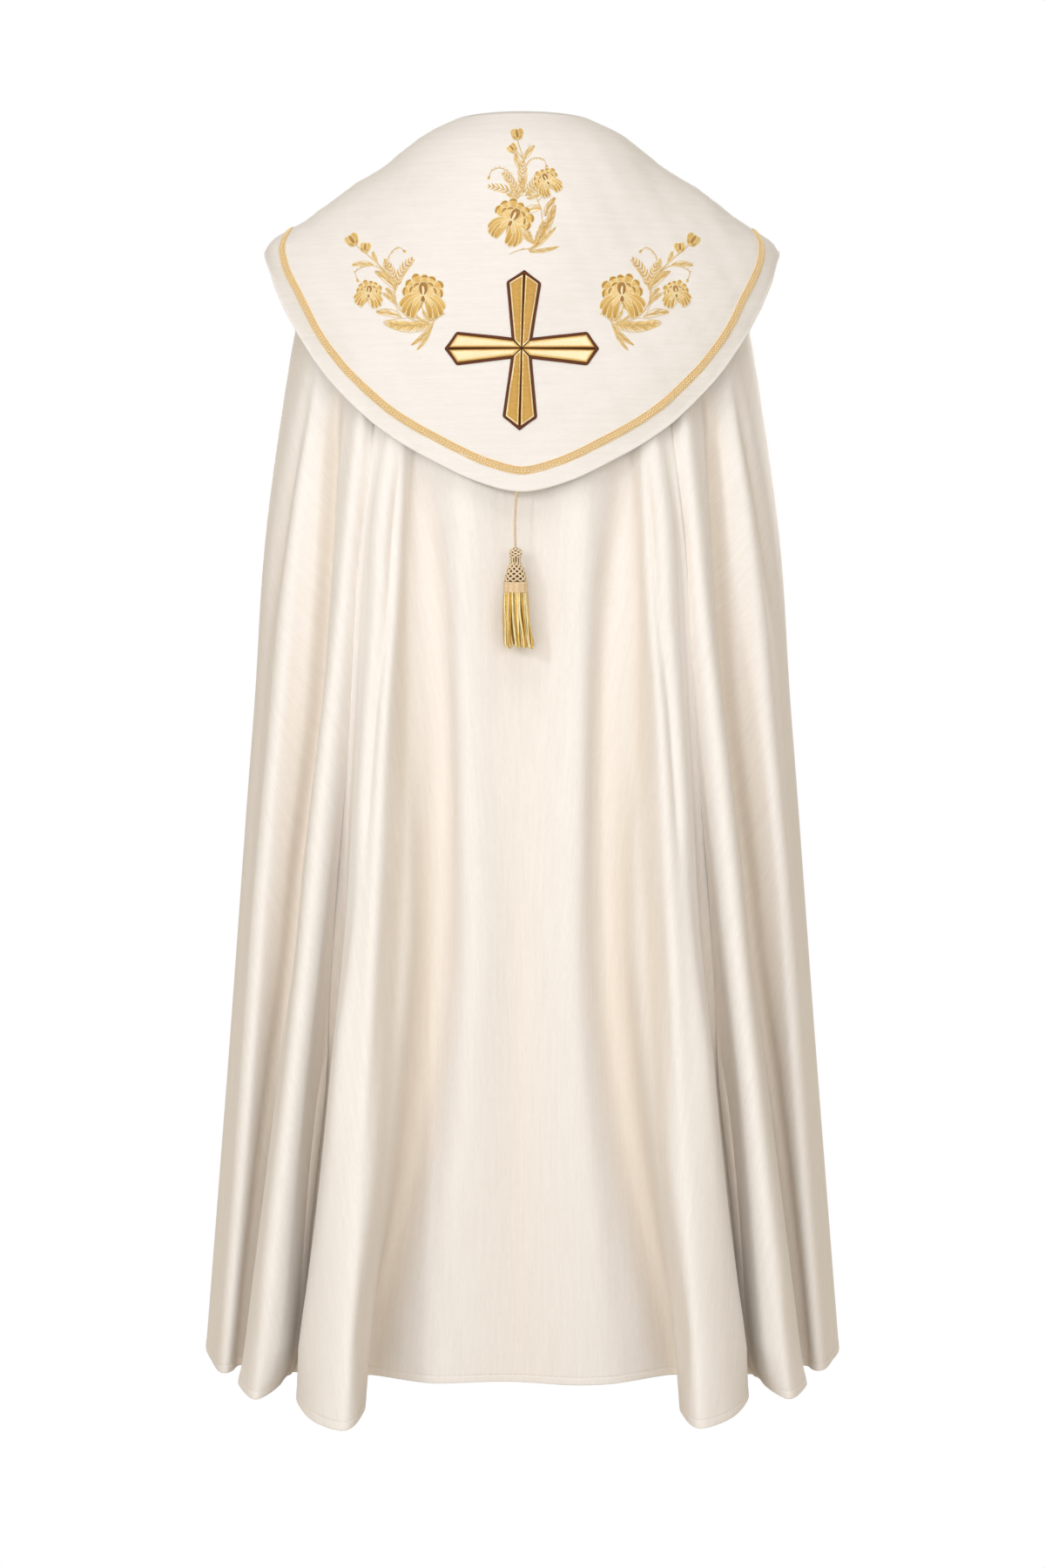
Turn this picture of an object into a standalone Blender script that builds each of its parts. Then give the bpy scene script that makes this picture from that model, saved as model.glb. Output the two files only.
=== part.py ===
"""A cope: a liturgical mantle worn open at the front, with a shield-shaped hood over the shoulders.

Units are metres. +Z is up, +Y is the wearer's back and +X is the wearer's left.
The origin is the middle of the neck opening, level with the nape.
Cloth is a closed wall built on a smooth sheet. A sheet runs across from the right front edge (-1)
round the centre back (0) to the left front edge (1), and down from the neck.
"""
import math
from bisect import bisect_right
from collections import namedtuple

import bmesh
import bpy
from mathutils import Vector
from mathutils.bvhtree import BVHTree

# ---- cloth ----
CLOTH = 0.0020            # wall of the mantle and of the hood
SEAM_GAP = 0.0003         # between two pieces that are sewn together

# ---- the mantle's rings over the shoulders: centre back, shoulder side and front edge ----
# square 2 makes a ring's halves elliptical, more makes them squarer and less makes them pointed.
Ring = namedtuple("Ring", "name back_y back_z side_x side_z front_x front_y front_z square fold")
MANTLE_RINGS = (
    Ring("neck",   0.060,  0.000, 0.078, -0.004, 0.014, -0.078, -0.058, 2.0, 0.0),
    Ring("collar", 0.090, -0.036, 0.118, -0.026, 0.016, -0.100, -0.092, 2.0, 0.0),
    Ring("blade",  0.124, -0.110, 0.167, -0.066, 0.018, -0.137, -0.155, 2.0, 0.0),
    Ring("yoke",   0.142, -0.190, 0.209, -0.100, 0.020, -0.159, -0.225, 2.0, 0.1),
    Ring("cap",    0.150, -0.260, 0.240, -0.144, 0.022, -0.171, -0.290, 2.1, 0.4),
    Ring("arm",    0.154, -0.320, 0.262, -0.225, 0.025, -0.180, -0.340, 2.2, 0.8),
)
BUST_RING = Ring("bust", 0.156, -0.380, 0.288, -0.380, 0.028, -0.188, -0.380, 2.3, 1.0)

# ---- the mantle's folds below the shoulders, for the wearer's left half; the right half mirrors it ----
BUST_Z = -0.380
WAIST_Z = -0.700
KNEE_Z = -1.080
HEM_Z = -1.458
Fold = namedtuple("Fold", "name bust_x bust_y waist_x waist_y knee_x knee_y hem_x hem_y sag")
FOLDS = (
    Fold("centre_back",       0.000,  0.156, 0.000,  0.155, 0.000,  0.153, 0.000,  0.150, 0.000),
    Fold("back_swell",        0.068,  0.160, 0.066,  0.161, 0.063,  0.163, 0.101,  0.152, 0.000),
    Fold("back_hollow",       0.114,  0.143, 0.093,  0.142, 0.111,  0.134, 0.186,  0.118, 0.000),
    Fold("big_flute_inside",  0.127,  0.146, 0.131,  0.150, 0.150,  0.180, 0.180,  0.232, 0.008),
    Fold("big_flute",         0.139,  0.150, 0.155,  0.180, 0.173,  0.221, 0.202,  0.281, 0.014),
    Fold("big_flute_round",   0.148,  0.147, 0.171,  0.175, 0.197,  0.214, 0.233,  0.256, 0.012),
    Fold("big_flute_outside", 0.155,  0.138, 0.183,  0.159, 0.213,  0.186, 0.257,  0.200, 0.006),
    Fold("big_flute_under",   0.162,  0.129, 0.190,  0.140, 0.215,  0.120, 0.254,  0.112, 0.000),
    Fold("middle_hollow",     0.169,  0.122, 0.199,  0.120, 0.239,  0.106, 0.281,  0.102, 0.000),
    Fold("slim_flute_inside", 0.177,  0.125, 0.207,  0.128, 0.247,  0.138, 0.284,  0.160, 0.000),
    Fold("slim_flute",        0.187,  0.129, 0.219,  0.148, 0.259,  0.175, 0.303,  0.200, 0.004),
    Fold("slim_flute_outside", 0.205, 0.110, 0.232,  0.125, 0.276,  0.140, 0.327,  0.158, 0.000),
    Fold("deep_hollow",       0.219,  0.093, 0.244,  0.085, 0.289,  0.070, 0.327,  0.076, 0.000),
    Fold("arm_fold",          0.248,  0.086, 0.282,  0.088, 0.314,  0.094, 0.349,  0.100, 0.000),
    Fold("arm_flank",         0.273,  0.048, 0.303,  0.046, 0.337,  0.050, 0.369,  0.055, 0.000),
    Fold("side",              0.288,  0.000, 0.318,  0.000, 0.349,  0.000, 0.381,  0.000, 0.000),
    Fold("side_front",        0.271, -0.072, 0.301, -0.080, 0.331, -0.090, 0.357, -0.100, 0.000),
    Fold("elbow_hollow",      0.242, -0.100, 0.262, -0.104, 0.288, -0.100, 0.308, -0.094, 0.000),
    Fold("outer_flute",       0.209, -0.142, 0.226, -0.165, 0.246, -0.200, 0.264, -0.236, 0.008),
    Fold("outer_hollow",      0.173, -0.146, 0.181, -0.149, 0.196, -0.144, 0.212, -0.134, 0.000),
    Fold("inner_flute",       0.139, -0.173, 0.145, -0.194, 0.156, -0.224, 0.168, -0.254, 0.010),
    Fold("inner_hollow",      0.104, -0.171, 0.108, -0.172, 0.118, -0.170, 0.130, -0.166, 0.000),
    Fold("front_band",        0.068, -0.186, 0.076, -0.199, 0.090, -0.214, 0.104, -0.230, 0.004),
    Fold("front_edge",        0.028, -0.188, 0.038, -0.194, 0.052, -0.202, 0.068, -0.210, 0.000),
)
SIDE_FOLD = "side"
SAMPLES_PER_FOLD = 3      # facets between one fold's line and the next
YOKE_ROWS = 8             # facets from the neck to the bust
SKIRT_ROWS = 6            # facets from the bust to the hem

# ---- the hood: rings of the cape it is cut from, and its length along rays from the neck ----
# braid_inset runs from the hood's edge to the middle of its braid.
HOOD_RINGS = (
    Ring("collar", 0.098, -0.033, 0.119, -0.020, 0.016, -0.108, -0.090, 2.0, 0),
    Ring("blade",  0.134, -0.105, 0.182, -0.065, 0.018, -0.146, -0.155, 1.9, 0),
    Ring("yoke",   0.154, -0.185, 0.241, -0.107, 0.020, -0.168, -0.225, 1.8, 0),
    Ring("tip",    0.166, -0.262, 0.292, -0.141, 0.022, -0.180, -0.295, 1.75, 0),
    Ring("drop",   0.176, -0.343, 0.304, -0.173, 0.024, -0.188, -0.370, 1.85, 0),
    Ring("point",  0.184, -0.440, 0.309, -0.255, 0.026, -0.194, -0.460, 1.9, 0),
)
Ray = namedtuple("Ray", "turn length braid_inset")
HOOD_CUT = (
    Ray(0.00, 0.461, 0.0240),
    Ray(0.05, 0.455, 0.0245),
    Ray(0.10, 0.447, 0.0245),
    Ray(0.20, 0.439, 0.0240),
    Ray(0.30, 0.420, 0.0240),
    Ray(0.38, 0.388, 0.0300),
    Ray(0.45, 0.347, 0.0270),
    Ray(0.50, 0.318, 0.0240),
    Ray(0.56, 0.300, 0.0240),
    Ray(0.66, 0.290, 0.0240),
    Ray(0.80, 0.262, 0.0240),
    Ray(1.00, 0.190, 0.0240),
)
HOOD_KNOTS = 16           # spans of the hood's sheet from the centre back to each front edge
HOOD_COLUMNS = 29         # facets from the centre back to each front edge
HOOD_ROW_SHARES = (0.0, 0.13, 0.28, 0.45, 0.63, 0.82, 1.0)

# ---- braid ----
GALLOON_WIDTH = 0.0090
GALLOON_THICK = 0.0012

# ---- cross: four flared, pointed arms, drawn in the back view, clockwise from the top ----
Arm = namedtuple("Arm", "name clock length shoulder shoulder_half")
CROSS_CENTRE_X = 0.001
CROSS_CENTRE_Z = -0.2715
CROSS_ARMS = (
    Arm("upper", 2.0, 0.0870, 0.0735, 0.0195),
    Arm("right", 90.0, 0.0865, 0.0735, 0.0190),
    Arm("lower", 181.5, 0.0910, 0.0765, 0.0195),
    Arm("left", 270.0, 0.0860, 0.0725, 0.0190),
)
CROSS_NECK_HALF = 0.0115  # half the width of an arm where it meets its neighbours
CROSS_RIM = 0.0034        # ground left showing beside the satin
CROSS_POINT_RIM = 0.0048  # ground left showing at an arm's point, along the arm
CROSS_SHOULDER_RIM = 0.0010  # how far the satin's shoulder stands back along the arm
CROSS_GROOVE = 0.0011     # half the ground left showing along an arm's middle
CROSS_ROOT = 0.0022       # from the centre to where the satin begins
GROUND_THICK = 0.0008
SATIN_THICK = 0.0012
PATCH_GAP = 0.0004        # from the hood's facets to a flat patch, which bridges their edges
PATCH_CELL = 0.012        # largest facet of a patch

# ---- tassel: turned about the cord's lower end ----
CORD_TOP_X = 0.0064
TASSEL_X = 0.0078
CORD_RADIUS = 0.0015
CORD_SIDES = 2            # bevel resolution of the cord
CORD_TOP_GAP = 0.0005     # from the hood's edge to the cord's top
CORD_POINTS = 10
CORD_SWAY = 0.0012        # how far the cord bows aside
TASSEL_SIDES = 20
KNOT_TOP_Z = -0.4930
Turning = namedtuple("Turning", "drop radius")
TASSEL_HEAD = (
    Turning(0.0000, 0.0030),
    Turning(0.0020, 0.0062),
    Turning(0.0058, 0.0078),
    Turning(0.0098, 0.0066),
    Turning(0.0120, 0.0056),
    Turning(0.0160, 0.0060),
    Turning(0.0220, 0.0092),
    Turning(0.0300, 0.0118),
    Turning(0.0379, 0.0127),
)
TASSEL_BAND = (Turning(0.0382, 0.0134), Turning(0.0440, 0.0139), Turning(0.0497, 0.0136))
TASSEL_FRINGE = (
    Turning(0.0500, 0.0143),
    Turning(0.0620, 0.0150),
    Turning(0.0900, 0.0163),
    Turning(0.1140, 0.0172),
)

# ---- morse: the cloth tab that closes the front ----
MORSE_HALF_WIDTH = 0.062
MORSE_TOP_Z = -0.238
MORSE_HEIGHT = 0.062
MORSE_THICK = 0.0020
MORSE_COLUMNS = 16
MORSE_ROWS = 5
MORSE_GAP = 0.0005        # from the mantle's facets to the tab, which bridges their edges
MORSE_SEAT_IN = 0.004     # from a front edge to where the tab's height over the gap is taken
EDGE_SAMPLES = 60         # places along a front edge that are compared with the tab's height

# ---- colours: base colour, roughness and metallic value ----
IVORY = (0.86, 0.79, 0.69, 0.45, 0.0)
PALE_GOLD = (0.80, 0.58, 0.25, 0.40, 0.2)
SATIN_GOLD = (0.66, 0.42, 0.12, 0.35, 0.2)
BROWN = (0.16, 0.06, 0.04, 0.80, 0.0)

SMOOTH_BELOW = math.radians(40)  # edges between facets that turn less than this look round


# ---- curves and sheets ----
def knot_slopes(knots, values):
    """Slopes of a smooth curve through values at uneven knots."""
    steps = [after - before for before, after in zip(knots, knots[1:])]
    rates = [(after - before) / step for before, after, step in zip(values, values[1:], steps)]
    inner = [
        (rates[i] * steps[i + 1] + rates[i + 1] * steps[i]) / (steps[i] + steps[i + 1])
        for i in range(len(steps) - 1)
    ]
    return [rates[0]] + inner + [rates[-1]]


def curve_point(knots, values, slopes, place):
    """The smooth curve's value at a place between its knots."""
    span = min(max(bisect_right(knots, place) - 1, 0), len(knots) - 2)
    step = knots[span + 1] - knots[span]
    t = (place - knots[span]) / step
    rise = t * t * (3 - 2 * t)
    leave = t * (1 - t) ** 2 * step
    arrive = t * t * (t - 1) * step
    start = values[span] * (1 - rise) + values[span + 1] * rise
    return start + slopes[span] * leave + slopes[span + 1] * arrive


def running_length(points):
    """Distance along a line of points, from its first point."""
    lengths = [0.0]
    for before, after in zip(points, points[1:]):
        lengths.append(lengths[-1] + (after - before).length)
    return lengths


def mean_depths(rows):
    """How far down each row lies along the cloth, as a mean over the columns."""
    runs = [running_length(column) for column in zip(*rows)]
    return [sum(depths) / len(depths) for depths in zip(*runs)]


def ring_point(ring, turn):
    """A point of a ring: turn 0 at centre back, 0.5 at the shoulder, 1 at the front edge."""
    angle = min(abs(turn), 1.0) * math.pi
    side = max(math.sin(angle), 0.0)
    end = abs(math.cos(angle))
    swell = (side ** ring.square + end ** ring.square) ** (-1 / ring.square)
    if angle <= math.pi / 2:
        x = ring.side_x * side * swell
        y = ring.back_y * end * swell
        z = ring.side_z + (ring.back_z - ring.side_z) * end ** 2
    else:
        x = ring.front_x + (ring.side_x - ring.front_x) * side * swell
        y = ring.front_y * end * swell
        z = ring.side_z + (ring.front_z - ring.side_z) * end ** 2
    return Vector((math.copysign(x, turn), y, z))


class Sheet:
    """A smooth surface through a net of points with uneven knots both ways."""

    STEP = 0.0005         # for slopes

    def __init__(self, across, down, rows):
        self.across = across
        self.down = down
        self.rows = rows
        self.slopes = [knot_slopes(across, row) for row in rows]

    def point(self, across, down):
        column = [
            curve_point(self.across, row, slopes, across)
            for row, slopes in zip(self.rows, self.slopes)
        ]
        return curve_point(self.down, column, knot_slopes(self.down, column), down)

    def tangents(self, across, down):
        """How the surface moves per unit across and per unit down."""
        left = max(across - self.STEP, self.across[0])
        right = min(across + self.STEP, self.across[-1])
        above = max(down - self.STEP, self.down[0])
        below = min(down + self.STEP, self.down[-1])
        along = (self.point(right, down) - self.point(left, down)) / (right - left)
        fall = (self.point(across, below) - self.point(across, above)) / (below - above)
        return along, fall

    def normal(self, across, down):
        """The direction away from the wearer."""
        along, fall = self.tangents(across, down)
        return along.cross(fall).normalized()

    def node(self, across, down):
        return self.point(across, down), self.normal(across, down)


def mirrored(half):
    """Values of a half, from the centre out, spread over both halves as knots from -1 to 1."""
    return [-value for value in reversed(half[1:])] + list(half)


def both_halves(points):
    """Points of the left half, from the centre out, with the right half's before them."""
    flip = Vector((-1, 1, 1))
    return [point * flip for point in reversed(points[1:])] + list(points)


# ---- the mantle's sheet ----
def fold_points(level, z):
    """The folds' points of the left half at one level."""
    points = []
    for fold in FOLDS:
        x = getattr(fold, level + "_x")
        y = getattr(fold, level + "_y")
        drop = fold.sag if level == "hem" else 0.0
        points.append(Vector((x, y, z - drop)))
    return points


def mantle_sheet():
    levels = [
        fold_points("bust", BUST_Z),
        fold_points("waist", WAIST_Z),
        fold_points("knee", KNEE_Z),
        fold_points("hem", HEM_Z),
    ]
    shares = [[run / lengths[-1] for run in lengths] for lengths in map(running_length, levels)]
    knots = [sum(column) / len(levels) for column in zip(*shares)]
    side = knots[[fold.name for fold in FOLDS].index(SIDE_FOLD)]
    turns = [
        0.5 * knot / side if knot <= side else 0.5 + 0.5 * (knot - side) / (1 - side)
        for knot in knots
    ]
    folding = [point - ring_point(BUST_RING, turn) for point, turn in zip(levels[0], turns)]
    rows = [
        [ring_point(ring, turn) + shift * ring.fold for turn, shift in zip(turns, folding)]
        for ring in MANTLE_RINGS
    ]
    rows = rows + levels
    return Sheet(mirrored(knots), mean_depths(rows), [both_halves(row) for row in rows])


def between(start, end, count):
    """Evenly spaced places from start to end, both included."""
    return [start + (end - start) * i / count for i in range(count + 1)]


def mantle_net(sheet):
    """Facet corners of the mantle: rows down from the neck, each from right to left."""
    bust = sheet.down[len(MANTLE_RINGS)]
    depths = between(0.0, bust, YOKE_ROWS) + between(bust, sheet.down[-1], SKIRT_ROWS)[1:]
    places = []
    for before, after in zip(sheet.across, sheet.across[1:]):
        places += between(before, after, SAMPLES_PER_FOLD)[:-1]
    places.append(sheet.across[-1])
    return [[sheet.node(place, depth) for place in places] for depth in depths]


# ---- the hood's sheet and its trim ----
def hood_sheet(mantle):
    """The cape that the hood is cut from, sewn on the mantle's neck."""
    turns = between(0.0, 1.0, HOOD_KNOTS)
    neck = []
    for turn in turns:
        point, normal = mantle.node(turn, 0.0)
        neck.append(point + normal * (CLOTH + SEAM_GAP))
    rows = [neck] + [[ring_point(ring, turn) for turn in turns] for ring in HOOD_RINGS]
    down = running_length([row[0] for row in rows])
    return Sheet(mirrored(turns), down, [both_halves(row) for row in rows])


TURN_STEP = 0.002         # for the slope of the hood's edge


def ray_value(turn, field):
    """The hood's cut between the rays of its table."""
    half = [getattr(ray, field) for ray in HOOD_CUT]
    values = half[:0:-1] + half
    turns = mirrored([ray.turn for ray in HOOD_CUT])
    return curve_point(turns, values, knot_slopes(turns, values), turn)


def hood_length(turn):
    return ray_value(turn, "length")


def inset_place(cape, turn, inset):
    """Where a line drawn square to the hood's edge, inset long, ends on the cape."""
    length = hood_length(turn)
    before = max(turn - TURN_STEP, -1.0)
    after = min(turn + TURN_STEP, 1.0)
    edge = cape.point(after, hood_length(after)) - cape.point(before, hood_length(before))
    inward = edge.cross(cape.normal(turn, length)).normalized() * inset
    along, fall = cape.tangents(turn, length)
    size = along.dot(along) * fall.dot(fall) - along.dot(fall) ** 2
    turn_shift = (inward.dot(along) * fall.dot(fall) - inward.dot(fall) * along.dot(fall)) / size
    length_shift = (inward.dot(fall) * along.dot(along) - inward.dot(along) * along.dot(fall)) / size
    return min(max(turn + turn_shift, -1.0), 1.0), length + length_shift


def hood_net(cape):
    """Facet corners of the hood: rows from the neck to the braid's two sides and the edge."""
    turns = mirrored(between(0.0, 1.0, HOOD_COLUMNS))
    columns = []
    for turn in turns:
        inset = ray_value(turn, "braid_inset")
        upper = inset_place(cape, turn, inset + GALLOON_WIDTH / 2)
        lower = inset_place(cape, turn, inset - GALLOON_WIDTH / 2)
        places = [
            (turn + (upper[0] - turn) * share, upper[1] * share)
            for share in HOOD_ROW_SHARES
        ]
        places += [lower, (turn, hood_length(turn))]
        columns.append([cape.node(*place) for place in places])
    return [list(row) for row in zip(*columns)]


# ---- solids ----
def material(name, finish):
    """A plain surface from a base colour, a roughness and a metallic value."""
    red, green, blue, roughness, metallic = finish
    made = bpy.data.materials.new(name)
    made.use_nodes = True
    surface = made.node_tree.nodes["Principled BSDF"]
    surface.inputs["Base Color"].default_value = (red, green, blue, 1)
    surface.inputs["Roughness"].default_value = roughness
    surface.inputs["Metallic"].default_value = metallic
    made.diffuse_color = (red, green, blue, 1)
    return made


def add_solid(name, points, faces, finish):
    """An object from points and outward faces, cut into triangles."""
    mesh = bpy.data.meshes.new(name)
    mesh.from_pydata([tuple(point) for point in points], [], faces)
    shape = bmesh.new()
    shape.from_mesh(mesh)
    bmesh.ops.triangulate(shape, faces=shape.faces)
    shape.to_mesh(mesh)
    shape.free()
    mesh.shade_smooth()
    mesh.set_sharp_from_angle(angle=SMOOTH_BELOW)
    mesh.materials.append(material(name, finish))
    made = bpy.data.objects.new(name, mesh)
    bpy.context.collection.objects.link(made)
    return made


def add_wall(name, net, inner, outer, finish):
    """A closed wall between two offsets of a net of points and outward directions."""
    rows = len(net)
    columns = len(net[0])
    points = [point + away * outer for row in net for point, away in row]
    points += [point + away * inner for row in net for point, away in row]
    back = rows * columns
    faces = []
    for row in range(rows - 1):
        for column in range(columns - 1):
            a = row * columns + column
            quad = (a, a + 1, a + columns + 1, a + columns)
            faces.append(quad)
            faces.append(tuple(corner + back for corner in reversed(quad)))
    rim = [column for column in range(columns)]
    rim += [row * columns + columns - 1 for row in range(1, rows)]
    rim += [(rows - 1) * columns + column for column in range(columns - 2, -1, -1)]
    rim += [row * columns for row in range(rows - 2, 0, -1)]
    for here, ahead in zip(rim, rim[1:] + rim[:1]):
        faces.append((ahead, here, here + back, ahead + back))
    return add_solid(name, points, faces, finish)


def add_turned(name, axis, profile, finish):
    """A round solid about a vertical line, from drops below its top point and radii."""
    points = []
    faces = []
    for turning in profile:
        for side in range(TASSEL_SIDES):
            angle = math.tau * side / TASSEL_SIDES
            spoke = Vector((math.cos(angle), math.sin(angle), 0)) * turning.radius
            points.append(axis + spoke - Vector((0, 0, turning.drop)))
    for level in range(len(profile) - 1):
        for side in range(TASSEL_SIDES):
            a = level * TASSEL_SIDES + side
            b = level * TASSEL_SIDES + (side + 1) % TASSEL_SIDES
            faces.append((a, a + TASSEL_SIDES, b + TASSEL_SIDES, b))
    faces.append(tuple(range(TASSEL_SIDES)))
    faces.append(tuple(range(len(points) - 1, len(points) - 1 - TASSEL_SIDES, -1)))
    return add_solid(name, points, faces, finish)


def surface_of(solid):
    """A solid's facets, for laying other pieces on them."""
    mesh = solid.data
    corners = [vertex.co.copy() for vertex in mesh.vertices]
    return BVHTree.FromPolygons(corners, [tuple(face.vertices) for face in mesh.polygons])


def drop_on(tree, x, z, toward):
    """The first point of a surface met along Y, coming from the side that toward points away from."""
    start = Vector((x, -toward, z))
    point, normal, index, distance = tree.ray_cast(start, Vector((0, toward, 0)))
    return point


# ---- the cross ----
def arm_place(arm, along, aside):
    """A point of an arm, in metres in X and Z from the cross's centre."""
    angle = math.radians(arm.clock)
    reach = Vector((-math.sin(angle), math.cos(angle)))
    across = Vector((-math.cos(angle), -math.sin(angle)))
    return reach * along + across * aside


def ground_outline():
    """The brown ground: four arms, clockwise as seen from the back."""
    outline = []
    for arm in CROSS_ARMS:
        outline += [
            arm_place(arm, CROSS_NECK_HALF, -CROSS_NECK_HALF),
            arm_place(arm, arm.shoulder, -arm.shoulder_half),
            arm_place(arm, arm.length, 0.0),
            arm_place(arm, arm.shoulder, arm.shoulder_half),
        ]
    return outline


def satin_outline(arm, hand):
    """One padded half of an arm, on the side that hand (1 or -1) gives."""
    flare = (arm.shoulder_half - CROSS_NECK_HALF) / (arm.shoulder - CROSS_NECK_HALF)
    neck = CROSS_NECK_HALF - CROSS_RIM
    places = (
        (CROSS_ROOT, CROSS_GROOVE),
        (neck + CROSS_GROOVE, neck),
        (arm.shoulder - CROSS_SHOULDER_RIM, arm.shoulder_half - CROSS_RIM - flare * CROSS_SHOULDER_RIM),
        (arm.length - CROSS_POINT_RIM, CROSS_GROOVE),
    )
    return [arm_place(arm, along, aside * hand) for along, aside in places]


def add_patch(name, outline, tree, away, gap, thick, finish):
    """A thin closed patch laid on the hood, from an outline about the cross's centre."""
    shape = bmesh.new()
    centre = Vector((CROSS_CENTRE_X, CROSS_CENTRE_Z))
    corners = [shape.verts.new((place.x + centre.x, 0, place.y + centre.y)) for place in outline]
    shape.faces.new(corners)
    for axis in (Vector((1, 0, 0)), Vector((0, 0, 1))):
        offsets = [vertex.co.dot(axis) for vertex in shape.verts]
        cut = min(offsets) + PATCH_CELL
        while cut < max(offsets) - PATCH_CELL * 0.25:
            parts = shape.verts[:] + shape.edges[:] + shape.faces[:]
            bmesh.ops.bisect_plane(shape, geom=parts, plane_co=axis * cut, plane_no=axis)
            cut += PATCH_CELL
    bmesh.ops.triangulate(shape, faces=shape.faces)
    shape.verts.index_update()
    seats = [drop_on(tree, vertex.co.x, vertex.co.z, -1) for vertex in shape.verts]
    count = len(seats)
    points = [seat + away * (gap + thick) for seat in seats] + [seat + away * gap for seat in seats]
    faces = []
    for face in shape.faces:
        loop = [vertex.index for vertex in face.verts]
        if face.normal.y < 0:
            loop.reverse()
        faces.append(tuple(loop))
        faces.append(tuple(corner + count for corner in reversed(loop)))
    for edge in shape.edges:
        if len(edge.link_faces) == 1:
            a, b = (vertex.index for vertex in edge.verts)
            loop = faces[2 * list(shape.faces).index(edge.link_faces[0])]
            if loop[(loop.index(a) + 1) % len(loop)] != b:
                a, b = b, a
            faces.append((b, a, a + count, b + count))
    shape.free()
    return add_solid(name, points, faces, finish)


# ---- build ----
def clear_scene():
    for item in list(bpy.data.objects):
        bpy.data.objects.remove(item, do_unlink=True)


def build_mantle(sheet):
    return add_wall("cope_body", mantle_net(sheet), -CLOTH / 2, CLOTH / 2, IVORY)


def build_hood(net):
    """The hood, and the braid made from the points of the two rows that it covers."""
    hood = add_wall("hood", net, -CLOTH / 2, CLOTH / 2, IVORY)
    seat = CLOTH / 2 + SEAM_GAP
    add_wall("hood_galloon", net[-3:-1], seat, seat + GALLOON_THICK, PALE_GOLD)
    return hood


def build_cross(cape, tree):
    away = cape.normal(0.0, -CROSS_CENTRE_Z)
    add_patch("cross_ground", ground_outline(), tree, away, PATCH_GAP, GROUND_THICK, BROWN)
    seat = PATCH_GAP + GROUND_THICK + SEAM_GAP
    number = 1
    for arm in CROSS_ARMS:
        for hand in (-1, 1):
            name = "cross_satin_%d" % number
            add_patch(name, satin_outline(arm, hand), tree, away, seat, SATIN_THICK, SATIN_GOLD)
            number += 1


def back_edge_point(net, x):
    """A point of the hood's lower edge at the back, at a distance from the middle."""
    edge = [point for point, away in net[-1] if point.y > 0]
    for before, after in zip(edge, edge[1:]):
        if before.x <= x <= after.x:
            return before.lerp(after, (x - before.x) / (after.x - before.x))
    raise ValueError("no edge at %g" % x)


def build_tassel(net):
    """The cord hangs from the hood's point, and the tassel from the cord."""
    hung = back_edge_point(net, CORD_TOP_X)
    top = hung - Vector((0, 0, CORD_TOP_GAP))
    axis = Vector((TASSEL_X, hung.y, KNOT_TOP_Z))
    low = axis + Vector((0, 0, SEAM_GAP))
    curve = bpy.data.curves.new("tassel_cord", "CURVE")
    curve.dimensions = "3D"
    curve.bevel_depth = CORD_RADIUS
    curve.bevel_resolution = CORD_SIDES
    curve.use_fill_caps = True
    line = curve.splines.new("POLY")
    line.points.add(CORD_POINTS - 1)
    for i, point in enumerate(line.points):
        share = i / (CORD_POINTS - 1)
        sway = Vector((CORD_SWAY * math.sin(math.pi * share), 0, 0))
        point.co = (*(top.lerp(low, share) + sway), 1)
    curve.materials.append(material("tassel_cord", PALE_GOLD))
    bpy.context.collection.objects.link(bpy.data.objects.new("tassel_cord", curve))
    add_turned("tassel_head", axis, TASSEL_HEAD, PALE_GOLD)
    add_turned("tassel_band", axis, TASSEL_BAND, PALE_GOLD)
    add_turned("tassel_fringe", axis, TASSEL_FRINGE, SATIN_GOLD)


def front_edge_x(sheet, z):
    """How far the left front edge stands from the middle at a height."""
    edge = [sheet.point(1.0, depth) for depth in between(0.0, sheet.down[-1], EDGE_SAMPLES)]
    return min(edge, key=lambda point: abs(point.z - z)).x


def build_morse(tree, sheet):
    """A tab across the two front edges, laid on the mantle and bridging the gap between them."""
    reach = front_edge_x(sheet, MORSE_TOP_Z - MORSE_HEIGHT / 2) + MORSE_SEAT_IN
    net = []
    for z in between(MORSE_TOP_Z, MORSE_TOP_Z - MORSE_HEIGHT, MORSE_ROWS):
        row = []
        for x in between(MORSE_HALF_WIDTH, -MORSE_HALF_WIDTH, MORSE_COLUMNS):
            beside = math.copysign(max(abs(x), reach), x)
            seat = drop_on(tree, beside, z, 1)
            row.append((Vector((x, seat.y, z)), Vector((0, -1, 0))))
        net.append(row)
    add_wall("morse_tab", net, MORSE_GAP, MORSE_GAP + MORSE_THICK, IVORY)


def main():
    clear_scene()
    mantle = mantle_sheet()
    cape = hood_sheet(mantle)
    body = build_mantle(mantle)
    net = hood_net(cape)
    hood = build_hood(net)
    build_cross(cape, surface_of(hood))
    build_tassel(net)
    build_morse(surface_of(body), mantle)


main()
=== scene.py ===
"""The looks of the cope: cloth, hood, braid, embroidery, tassel and tab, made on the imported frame.

Metres. +Z is up, +Y is the wearer's back, which the photograph shows, and +X is the wearer's left.
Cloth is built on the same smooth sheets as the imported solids: across from the right front edge (-1)
round the centre back (0) to the left front edge (1), and down from the neck.
"""
from collections import namedtuple
from math import atan2, cos, degrees, pi, radians, sin, tau

import bpy
import numpy as np
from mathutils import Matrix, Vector
from mathutils.bvhtree import BVHTree


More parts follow.
